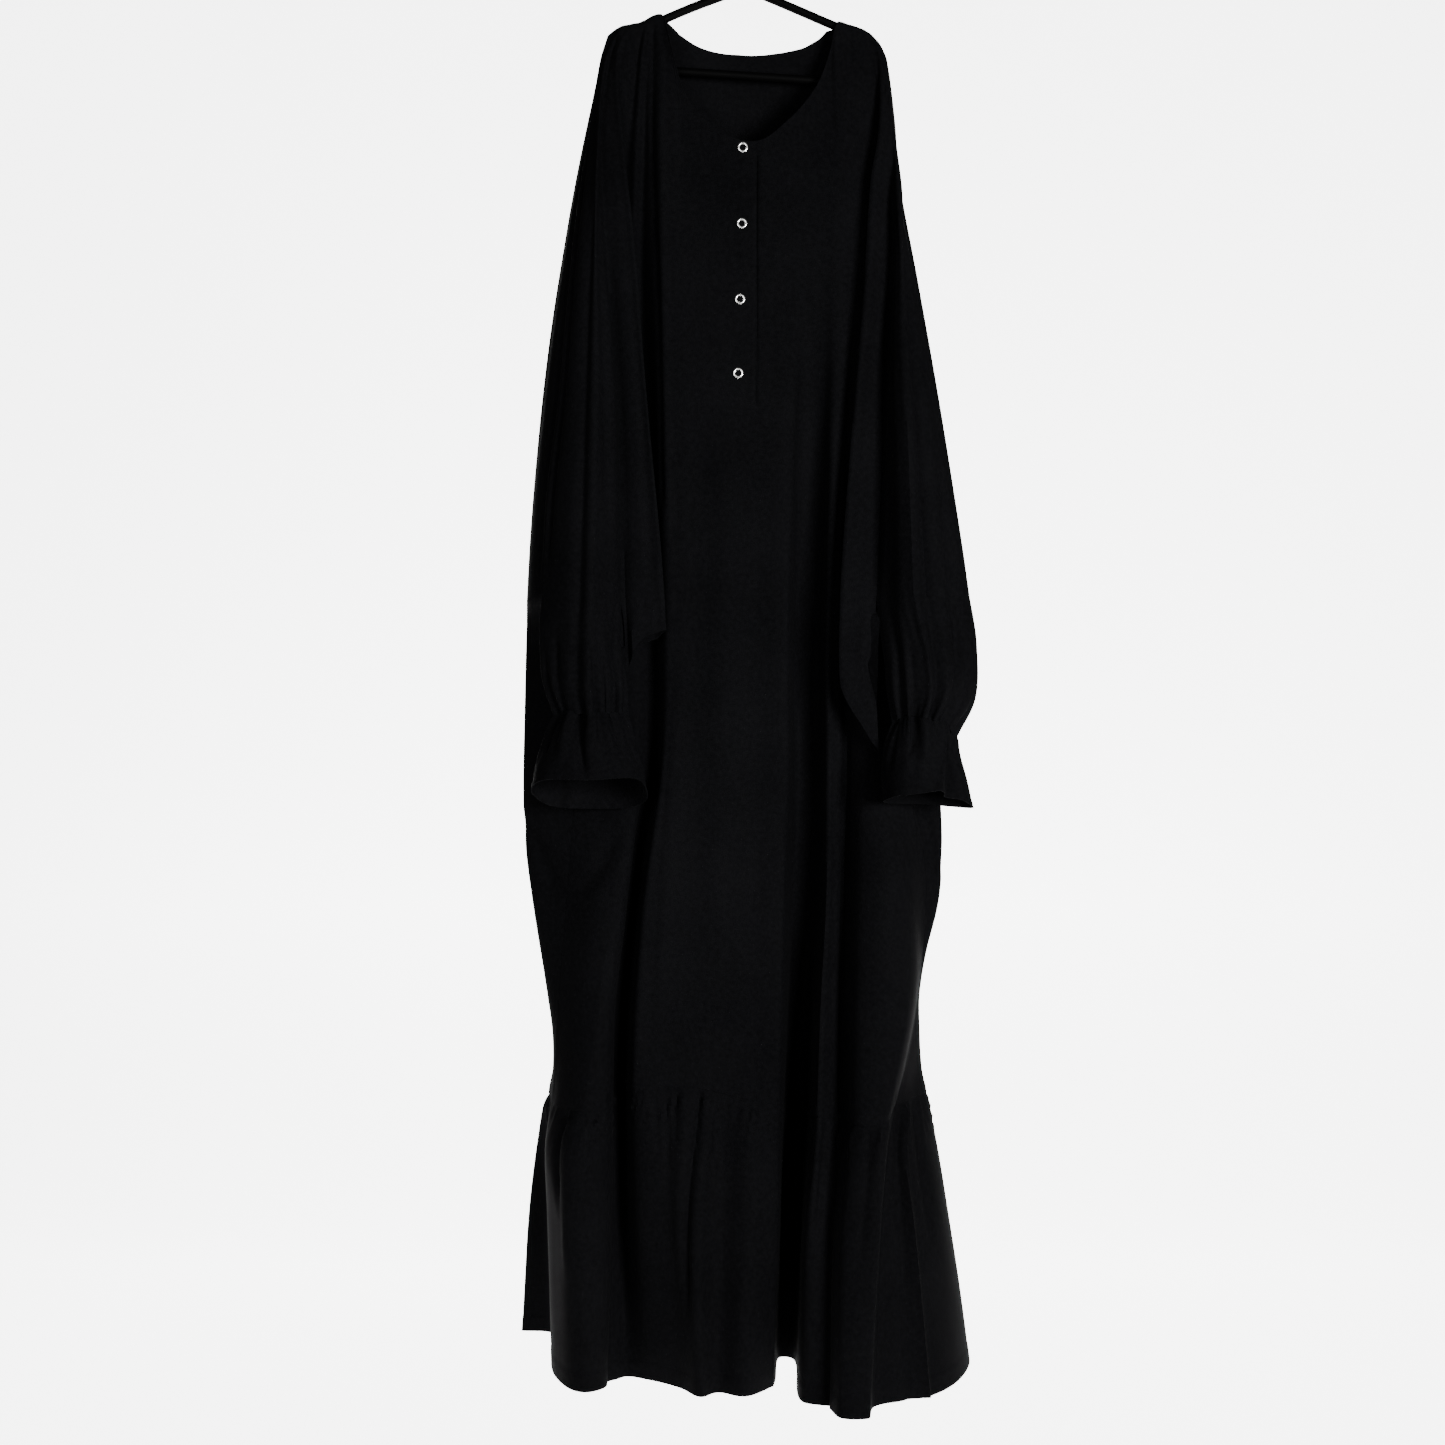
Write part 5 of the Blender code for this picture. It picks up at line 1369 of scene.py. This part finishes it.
    def make_front(self) -> None:
        """Make the front piece."""
        mesh = SheetMesh("abaya_front")
        numbers = mesh.add(self.front_upper.points)
        mesh.add(self.front_lower.points, numbers[-1, self.left:self.right + 1])
        for lobe, start in self.lobes:
            mesh.add(lobe.points, numbers[-1, start:start + lobe.points.shape[1]])
        self.front = mesh.make(self.cloth.thickness)
        settle(self.front, self.cloth.finish, ("front",))

    def make_back(self) -> None:
        """Make the back piece."""
        mesh = SheetMesh("abaya_back")
        numbers = mesh.add(self.back_upper.points[:, ::-1])
        mesh.add(self.back_lower.points[:, ::-1], numbers[-1])
        piece = mesh.make(self.cloth.thickness)
        settle(piece, self.cloth.finish, ("back",))

    def sew(self) -> None:
        """Sew the rows of stitches at the neck and above the flounce."""
        neck = Stitches(self.cloth.thread, "neck_stitches", pitch=2.8, length=2.0)
        waist = Stitches(self.cloth.thread, "seam_stitches", pitch=3.4)
        lift = self.cloth.thickness / 2
        marks = np.concatenate([[0], np.cumsum(self.column_steps)])
        back_marks = np.arange(len(BODY_BACK) + 2) * self.back_steps
        for sheet, ends, (first, last) in ((self.front_upper, marks, self.neck_folds),
                                           (self.back_upper, back_marks, self.back_neck_folds)):
            facing = grid_normals(sheet.points) * sheet.side
            row = (self.neck_row, slice(ends[first], ends[last] + 1))
            neck.sew(sheet.points[row], facing[row], lift)
        for sheet in (self.front_lower, self.back_lower):
            facing = grid_normals(sheet.points) * sheet.side
            waist.sew(sheet.points[-2, 2:-2], facing[-2, 2:-2], lift)
        neck.make()
        waist.make()


@dataclass
class SleeveEnd:
    """A lower sleeve drawn in by its elastic, or the ruffle below it."""

    cloth: Cloth
    name: str
    node: str
    rings: tuple
    at_top: bool
    flat: tuple[float, float]
    creases: tuple
    side: float
    columns: int = 30
    rows: int = 13
    gathers: int = 12
    gather_depth: float = 2.0
    fine_depth: float = 0.8
    fine_gathers: int = 25
    ripple_height: float = 0.9
    ripple_size: float = 34.0
    hem_width: float = 9.0
    hem_proud: float = 0.3
    overlap: float = 2.2
    seam: float = 0.06

    def draw(self) -> Sheet:
        """Draw the tube with its gathers and creases and return it."""
        rings = np.array(self.rings, float)[:, :, [1, 2, 0]]
        around = spline(rings, [self.columns] * rings.shape[1], closed=True)
        tube = spline(around.transpose(1, 0, 2), [self.rows] * (len(rings) - 1)).transpose(1, 0, 2)
        level = np.linspace(0, 1, len(tube))[:, None]
        away = level if self.at_top else 1 - level
        turn = 2 * np.pi * np.arange(tube.shape[1])[None] / tube.shape[1]
        # Slow waves round the ring make the gathers uneven in length, depth and place
        reach = 1.35 + 0.35 * np.sin(3 * turn + 1.1) + 0.25 * np.sin(5 * turn + 0.4)
        strength = np.maximum(0, 1 - away * reach)
        fine = np.maximum(0, 1 - away * reach * 2.0) ** 1.3
        drift = 0.5 * np.sin(2 * turn + 0.6) + 0.35 * np.sin(5 * turn)
        uneven = turn * self.fine_gathers + 1.3 * np.sin(3 * turn + 0.7) + 0.8 * np.sin(7 * turn)
        wave = (self.gather_depth * strength * np.cos(self.gathers * turn + drift)
                * (1 + 0.3 * np.sin(4 * turn + 2.0))
                + self.fine_depth * fine * np.sin(uneven))
        out = tube - tube.mean(axis=1, keepdims=True)
        out[:, :, 2] = 0
        out /= np.linalg.norm(out, axis=2, keepdims=True)
        sheet = Sheet(tube + out * wave[:, :, None], np.arange(tube.shape[1]) / self.columns,
                      side=self.side, closed=True)
        sheet.press(self.creases)
        sheet.ripple(self.ripple_height, self.ripple_size, 3.0 + self.side)
        return sheet

    def build(self, bodice: Bodice) -> None:
        """Make the piece.

        Args:
            bodice: The garment that a lower sleeve joins.
        """
        sheet = self.draw()
        if self.at_top:
            self.tuck_in(sheet)
        else:
            self.join_sleeve(sheet, bodice)
        mesh = SheetMesh(self.name)
        points = sheet.points if self.side > 0 else sheet.points[:, ::-1]
        mesh.add(points, closed=True)
        piece = mesh.make(self.cloth.thickness)
        settle(piece, self.cloth.finish, (self.node,))

    def tuck_in(self, sheet: Sheet) -> None:
        """Tuck the ruffle's upper edge a little way into the sleeve and turn its hem."""
        points = sheet.points
        centre = points[:1].mean(axis=1, keepdims=True)
        inward = centre - points[:1]
        inward[:, :, 2] = 0
        inward /= np.linalg.norm(inward, axis=2, keepdims=True)
        depth = np.arange(3)[:, None, None]
        points[:3] += inward * self.cloth.tuck * (1 - depth / 3)
        points[0, :, 2] += self.overlap
        rise = np.cumsum(np.linalg.norm(np.diff(points[::-1], axis=0), axis=2), axis=0)
        edge = np.concatenate([np.zeros((1, points.shape[1])), rise])[::-1]
        sheet.hem(edge, self.hem_width, self.hem_proud)
        stitches = Stitches(self.cloth.thread, self.name + "_stitches", pitch=3.0)
        facing = grid_normals(sheet.points, closed=True) * sheet.side
        line = int(np.argmin(np.abs(edge.mean(axis=1) - self.hem_width)))
        path = np.vstack([sheet.points[line], sheet.points[line, :1]])
        stitches.sew(path, np.vstack([facing[line], facing[line, :1]]), self.cloth.thickness / 2)
        stitches.make()

    def join_sleeve(self, sheet: Sheet, bodice: Bodice) -> None:
        """Bring the front half of the tube's upper edge onto the wide sleeve's lower edge.

        Args:
            sheet: The tube.
            bodice: The garment with the wide sleeves.
        """
        row, places = bodice.front_upper.points[-1], bodice.front_upper.places
        # The folds between which the wide sleeve's front ends at this seam
        ends = (2.0, 0.0) if self.side < 0 else (28.0, 30.0)
        half = 4 * self.columns + 1
        reach = (places >= min(ends)) & (places <= max(ends))
        line = row[reach] if self.side > 0 else row[reach][::-1]
        own = arc_lengths(sheet.points[:1, :half])[0]
        arc = arc_lengths(line[None])[0]
        spots = own / own[-1] * arc[-1]
        goal = np.column_stack([np.interp(spots, arc, line[:, axis]) for axis in range(3)])
        goal[:, 2] -= self.seam
        goal[0] += np.array([self.side * 1.2, -1.2, -0.4])
        step = goal - sheet.points[0, :half]
        full = np.zeros(sheet.points.shape[1:])
        full[:half] = step
        count = sheet.points.shape[1] - half
        blend = 1.0 - smooth_step(np.arange(1, count + 1) / (count * 0.3))
        full[half:] += step[-1] * blend[:, None]
        full[half:] += step[0] * blend[::-1, None]
        level = np.arange(len(sheet.points)) / (self.rows * 1.4)
        sheet.points += full[None] * (1.0 - smooth_step(level))[:, None, None]


@dataclass
class Placket:
    """The closing strip of the front, its free edge on the right, and its ring snaps."""

    cloth: Cloth
    metal: bpy.types.Material
    left: float = -22.0
    right: float = 10.0
    top: float = -253.6
    bottom: float = -538.0
    lean: float = -2.0
    thickness: float = 0.45
    proud: float = 0.55
    rows: int = 72
    columns: int = 20
    flat: tuple[float, float] = (0.034, 0.288)
    snap_heights: tuple[float, ...] = (-260.0, -343.0, -425.0, -505.0)
    snap_across: tuple[float, ...] = (-5.0, -6.0, -8.0, -10.0)
    ring: tuple[tuple[float, float], ...] = (
        (5.8, 0.0), (5.8, 0.5), (5.5, 0.95), (4.95, 1.3), (4.3, 1.4), (3.7, 1.2), (3.25, 0.75),
        (3.1, 0.2), (3.1, 0.0))

    def on_front(self, front: bpy.types.Object, across: float, height: float) -> np.ndarray:
        """Return the point of the front's outer face at a place, in millimetres."""
        hit, spot, _, _ = front.ray_cast(Vector((across * MM, -1.0, height * MM)),
                                         Vector((0.0, 1.0, 0.0)))
        if not hit:
            raise ValueError(f"the front isn't at {across}, {height}")
        return np.array(spot) / MM

    def build(self, front: bpy.types.Object) -> None:
        """Build the strip, its stitches and its snaps.

        Args:
            front: The dressed front.
        """
        shares = np.linspace(0, 1, self.columns + 1)
        profile = smooth_step(shares / 0.95)
        points = np.zeros((self.rows + 1, self.columns + 1, 3))
        neck = [self.neck_edge(front, self.left + (self.right - self.left) * share)
                for share in shares]
        for row, part in enumerate(np.linspace(0, 1, self.rows + 1)):
            for column, start in enumerate(neck):
                height = start + (self.bottom - start) * part
                across = (self.left + (self.right - self.left) * column / self.columns
                          + self.lean * part)
                spot = self.on_front(front, across, height)
                flush = profile[column] * smooth_step((1.0 - part) / 0.3)
                spot[1] -= 0.03 - self.thickness / 2 + (self.thickness + self.proud) * float(flush)
                points[row, column] = spot
        sheet = Sheet(points, shares)
        sheet.points[:, :, 1] = self.calm(sheet.points[:, :, 1])
        mesh = SheetMesh("placket_strip")
        mesh.add(sheet.points)
        strip = mesh.make(self.thickness)
        settle(strip, self.cloth.finish, ("placket",))
        stitches = Stitches(self.cloth.thread, "placket_stitches", pitch=2.8, length=2.0)
        facing = grid_normals(sheet.points)
        stitches.sew(sheet.points[1:, -4], facing[1:, -4], self.thickness / 2)
        across = sheet.points[-4, 5:-3]
        stitches.sew(across, facing[-4, 5:-3], self.thickness / 2)
        stitches.make()
        for number, (height, across) in enumerate(zip(self.snap_heights, self.snap_across), 1):
            self.add_snap(number, self.on_front(strip, across, height))

    def neck_edge(self, front: bpy.types.Object, across: float) -> float:
        """Return how high the strip starts, just below the front's neck edge."""
        height = self.top + 6.0
        while height > self.top - 12.0:
            hit, spot, _, _ = front.ray_cast(Vector((across * MM, -1.0, height * MM)),
                                             Vector((0.0, 1.0, 0.0)))
            if hit and spot.y < 0:
                return height - 0.8
            height -= 0.25
        return self.top

    def calm(self, depths: np.ndarray) -> np.ndarray:
        """Even out the strip's depth from row to row, never letting it sink."""
        for _ in range(4):
            evened = depths.copy()
            evened[1:-1] = (depths[:-2] + depths[1:-1] * 2 + depths[2:]) / 4
            depths = np.minimum(evened, depths + 0.05)
        return depths

    def add_snap(self, number: int, spot: np.ndarray) -> None:
        """Turn one ring snap out of a circle, with a rounded face and an open middle.

        Args:
            number: Which snap it is, from the top.
            spot: The point of the strip's face under its centre, in millimetres.
        """
        base = float(spot[1]) * MM - 0.0003
        centre = Vector((float(spot[0]) * MM, base, float(spot[2]) * MM))
        deselect_all()
        bpy.ops.mesh.primitive_circle_add(vertices=40, radius=self.ring[0][0] * MM,
                                          location=centre, rotation=(math.pi / 2, 0.0, 0.0))
        snap = bpy.context.object
        snap.name = snap.data.name = f"ring_snap_{number}"
        bpy.ops.object.transform_apply(location=True, rotation=True, scale=True)
        bpy.ops.object.mode_set(mode="EDIT")
        bpy.ops.mesh.select_all(action="SELECT")
        for (radius, rise), (wider, higher) in zip(self.ring, self.ring[1:]):
            bpy.ops.mesh.extrude_region_move(
                TRANSFORM_OT_translate={"value": (0.0, -(higher - rise) * MM, 0.0)})
            if wider != radius:
                share = wider / radius
                bpy.ops.transform.resize(value=(share, 1.0, share), center_override=centre)
        bpy.ops.mesh.extrude_region_move(TRANSFORM_OT_translate={"value": (0.0, 0.0, 0.0)})
        share = self.ring[0][0] / self.ring[-1][0]
        bpy.ops.transform.resize(value=(share, 1.0, share), center_override=centre)
        bpy.ops.mesh.select_all(action="SELECT")
        bpy.ops.mesh.remove_doubles(threshold=0.00001)
        bpy.ops.mesh.normals_make_consistent(inside=False)
        bpy.ops.object.mode_set(mode="OBJECT")
        bpy.ops.object.shade_smooth_by_angle(angle=CRISP_TURN)
        settle(snap, self.metal, (f"snap_{number}",))


@dataclass
class Hanger:
    """The slim moulded hanger: two arms, a lower bar and a hook, all one piece."""

    plastic: bpy.types.Material
    tube: float = 4.6
    wire: float = 3.6
    hook_inner: float = 17.0
    sides: int = 18
    corners: tuple[tuple[float, float], ...] = (
        (-3, -76), (-28, -84.5), (-60, -96.5), (-90, -109.2), (-100, -114), (-112, -118.6),
        (-128, -123.6), (-137, -129.5), (-141, -140), (-138, -152), (-128, -160.5),
        (-108, -164.5), (-60, -168), (0, -172), (60, -176), (96, -179), (121, -179.5),
        (133, -171), (137, -158), (136, -145), (130, -134.5), (119, -126.5), (104, -120),
        (86, -112.5), (56, -99.5), (24, -86))
    stem: tuple[tuple[float, float], ...] = ((-3, -77), (-2, -62), (1, -50), (9, -39.5))
    stem_radii: tuple[float, ...] = (5.4, 5.2, 4.6, 4.0)
    tip_shares: tuple[float, ...] = (0.95, 0.8, 0.45)
    hook_turn: tuple[float, float] = (-50.0, 190.0)
    hook_rings: int = 40

    def tube_rows(self, path: np.ndarray, radii: np.ndarray, closed: bool) -> np.ndarray:
        """Return rings of points along a path in the hanger's plane.

        Args:
            path: Places across and heights, in millimetres.
            radii: The radius at each point of the path.
            closed: Whether the path's last point joins the first.

        Returns:
            Points in millimetres, rings by sides by 3.
        """
        if closed:
            along = np.roll(path, -1, axis=0) - np.roll(path, 1, axis=0)
        else:
            along = np.gradient(path, axis=0)
        along /= np.linalg.norm(along, axis=1, keepdims=True)
        turn = 2 * np.pi * np.arange(self.sides) / self.sides
        flat = np.cos(turn)[None] * radii[:, None]
        deep = np.sin(turn)[None] * radii[:, None]
        return np.stack([path[:, :1] - along[:, 1:] * flat, deep, path[:, 1:] + along[:, :1] * flat],
                        axis=2)

    def build(self) -> None:
        """Build the hanger."""
        corners = np.array(self.corners, float)
        padded = np.column_stack([corners, np.zeros(len(corners))])[None]
        loop = spline(padded, [5] * len(corners), closed=True)[0, :, :2]
        rows = self.tube_rows(loop, np.full(len(loop), self.tube), True)
        frame_mesh = SheetMesh("hanger_moulded")
        ring = np.concatenate([rows, rows[:1]])
        numbers = frame_mesh.add(ring, closed=True)
        self.weld(frame_mesh, numbers)
        body = frame_mesh.make(0.0)
        radius = self.hook_inner + self.wire
        turns = np.radians(np.linspace(*self.hook_turn, self.hook_rings))
        arc = np.column_stack([np.cos(turns) * radius, np.sin(turns) * radius - self.hook_inner])
        stem = spline(np.column_stack([np.array(self.stem, float), np.zeros(4)])[None],
                      [4, 4, 4])[0, :-1, :2]
        path = np.concatenate([stem, arc])
        radii = np.full(len(path), self.wire)
        radii[:4] = self.stem_radii
        radii[-3:] = self.wire * np.array(self.tip_shares)
        hook_mesh = SheetMesh("hook")
        hook_mesh.add(self.tube_rows(path, radii, False), closed=True)
        hook = hook_mesh.make(0.0)
        select_only(hook)
        bpy.ops.object.mode_set(mode="EDIT")
        bpy.ops.mesh.select_all(action="SELECT")
        bpy.ops.mesh.fill_holes(sides=self.sides)
        bpy.ops.mesh.normals_make_consistent(inside=False)
        bpy.ops.object.mode_set(mode="OBJECT")
        union = body.modifiers.new("Hook", "BOOLEAN")
        union.operation = "UNION"
        union.solver = "EXACT"
        union.object = hook
        apply_modifiers(body)
        bpy.data.objects.remove(hook, do_unlink=True)
        select_only(body)
        bpy.ops.object.shade_smooth_by_angle(angle=CRISP_PLASTIC_TURN)
        settle(body, self.plastic, ("hanger",))

    def weld(self, mesh: SheetMesh, numbers: np.ndarray) -> None:
        """Join the last ring of a closed tube to its first one."""
        same = dict(zip(numbers[-1].tolist(), numbers[0].tolist()))
        mesh.faces = [tuple(same.get(corner, corner) for corner in face) for face in mesh.faces]


@dataclass
class Studio:
    """The pale floor and backdrop, the soft lights and the camera."""

    camera_place: tuple[float, float, float] = (-0.027, -2.0, -0.883)
    frame_width: float = 1.5895
    sensor: float = 36.0
    floor_height: float = -2.2
    wall_depth: float = 3.2
    half_width: float = 2.15
    floor_front: float = 0.5
    wall_height: float = 5.0
    sweep: float = 0.8
    sweep_steps: int = 12
    paper: tuple[float, float, float] = (0.93, 0.93, 0.93)
    glow: float = 4.8
    surround: float = 0.09
    lamps: tuple = (("key", (1.3, -2.1, -0.75), 0.8, 190.0), ("fill", (-1.3, -2.6, -0.6), 1.6, 66.0),
                    ("low", (0.4, -2.3, -1.7), 1.2, 6.0))
    aim: tuple[float, float, float] = (0.0, 0.0, -0.95)

    def build(self) -> None:
        """Set up the whole studio."""
        self.add_camera()
        self.add_backdrop()
        self.add_lights()

    def add_camera(self) -> None:
        """Add the camera, level and square to the front, at the photograph's distance."""
        data = bpy.data.cameras.new("camera")
        data.sensor_width = self.sensor
        data.lens = self.sensor * abs(self.camera_place[1]) / self.frame_width
        camera = bpy.data.objects.new("camera", data)
        camera.location = self.camera_place
        camera.rotation_euler = (math.pi / 2, 0.0, 0.0)
        bpy.context.scene.collection.objects.link(camera)
        bpy.context.scene.camera = camera

    def add_backdrop(self) -> None:
        """Add a floor that sweeps up into the backdrop."""
        profile = [(-self.floor_front, 0.0), (self.wall_depth - self.sweep, 0.0)]
        for step in range(1, self.sweep_steps + 1):
            turn = math.pi / 2 * step / self.sweep_steps
            profile.append((self.wall_depth - self.sweep + self.sweep * math.sin(turn),
                            self.sweep * (1 - math.cos(turn))))
        profile.append((self.wall_depth, self.wall_height))
        points, faces = [], []
        for depth, rise in profile:
            for across in (-self.half_width, self.half_width):
                points.append((across, depth, self.floor_height + rise))
        for index in range(len(profile) - 1):
            faces.append((2 * index, 2 * index + 1, 2 * index + 3, 2 * index + 2))
        mesh = bpy.data.meshes.new("backdrop")
        mesh.from_pydata(points, [], faces)
        mesh.shade_smooth()
        material = bpy.data.materials.new("pale paper")
        material.use_nodes = True
        shader = material.node_tree.nodes["Principled BSDF"]
        shader.inputs["Base Color"].default_value = (*self.paper, 1.0)
        shader.inputs["Roughness"].default_value = 0.9
        shader.inputs["Emission Color"].default_value = (1.0, 1.0, 1.0, 1.0)
        shader.inputs["Emission Strength"].default_value = self.glow
        mesh.materials.append(material)
        backdrop = bpy.data.objects.new("backdrop", mesh)
        bpy.context.scene.collection.objects.link(backdrop)

    def add_lights(self) -> None:
        """Add the soft lights and the pale surround."""
        world = bpy.data.worlds.new("studio")
        bpy.context.scene.world = world
        world.use_nodes = True
        surround = world.node_tree.nodes["Background"]
        surround.inputs["Color"].default_value = (1.0, 1.0, 1.0, 1.0)
        surround.inputs["Strength"].default_value = self.surround
        for name, place, size, power in self.lamps:
            data = bpy.data.lights.new(name, "AREA")
            data.shape = "SQUARE"
            data.size = size
            data.energy = power
            lamp = bpy.data.objects.new(name, data)
            lamp.location = place
            ray = Vector(self.aim) - Vector(place)
            lamp.rotation_euler = ray.to_track_quat("-Z", "Y").to_euler()
            bpy.context.scene.collection.objects.link(lamp)


def main() -> None:
    """Build the studio and every piece of the garment in order."""
    logging.basicConfig(level=logging.INFO, format="%(name)s %(message)s")
    Studio().build()
    thread = SatinFinish("black thread", (0.0018, 0.0018, 0.002), 0.8, 3000.0, 0.01).build()
    plastic = SatinFinish("satin black plastic", (0.0006, 0.0006, 0.0006), 0.6, 700.0, 0.02).build()
    cloth = Cloth(CrepeFinish().build(), thread)
    flounce = Flounce(cloth)
    bodice = Bodice(cloth, flounce)
    bodice.build()
    flounce.build()
    for name, node, rings, at_top, flat, creases, side in (
            ("sleeve_left_cloth", "sleeve_left", SLEEVE_LEFT, False, (0.26, 0.11),
             SLEEVE_LEFT_CREASES, -1.0),
            ("cuff_left_ruffle", "cuff_left", CUFF_LEFT, True, (0.30, 0.095),
             CUFF_LEFT_CREASES, -1.0),
            ("sleeve_right_cloth", "sleeve_right", SLEEVE_RIGHT, False, (0.26, 0.115),
             SLEEVE_RIGHT_CREASES, 1.0),
            ("cuff_right_ruffle", "cuff_right", CUFF_RIGHT, True, (0.26, 0.085),
             CUFF_RIGHT_CREASES, 1.0)):
        SleeveEnd(cloth, name, node, rings, at_top, flat, creases, side).build(bodice)
    Placket(cloth, MetalFinish().build()).build(bodice.front)
    Hanger(plastic).build()
    for name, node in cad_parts.items():
        node.data.materials.clear()
        node.data.materials.append(plastic if name == "hanger" else cloth.finish)


if __name__ == "__main__":
    main()
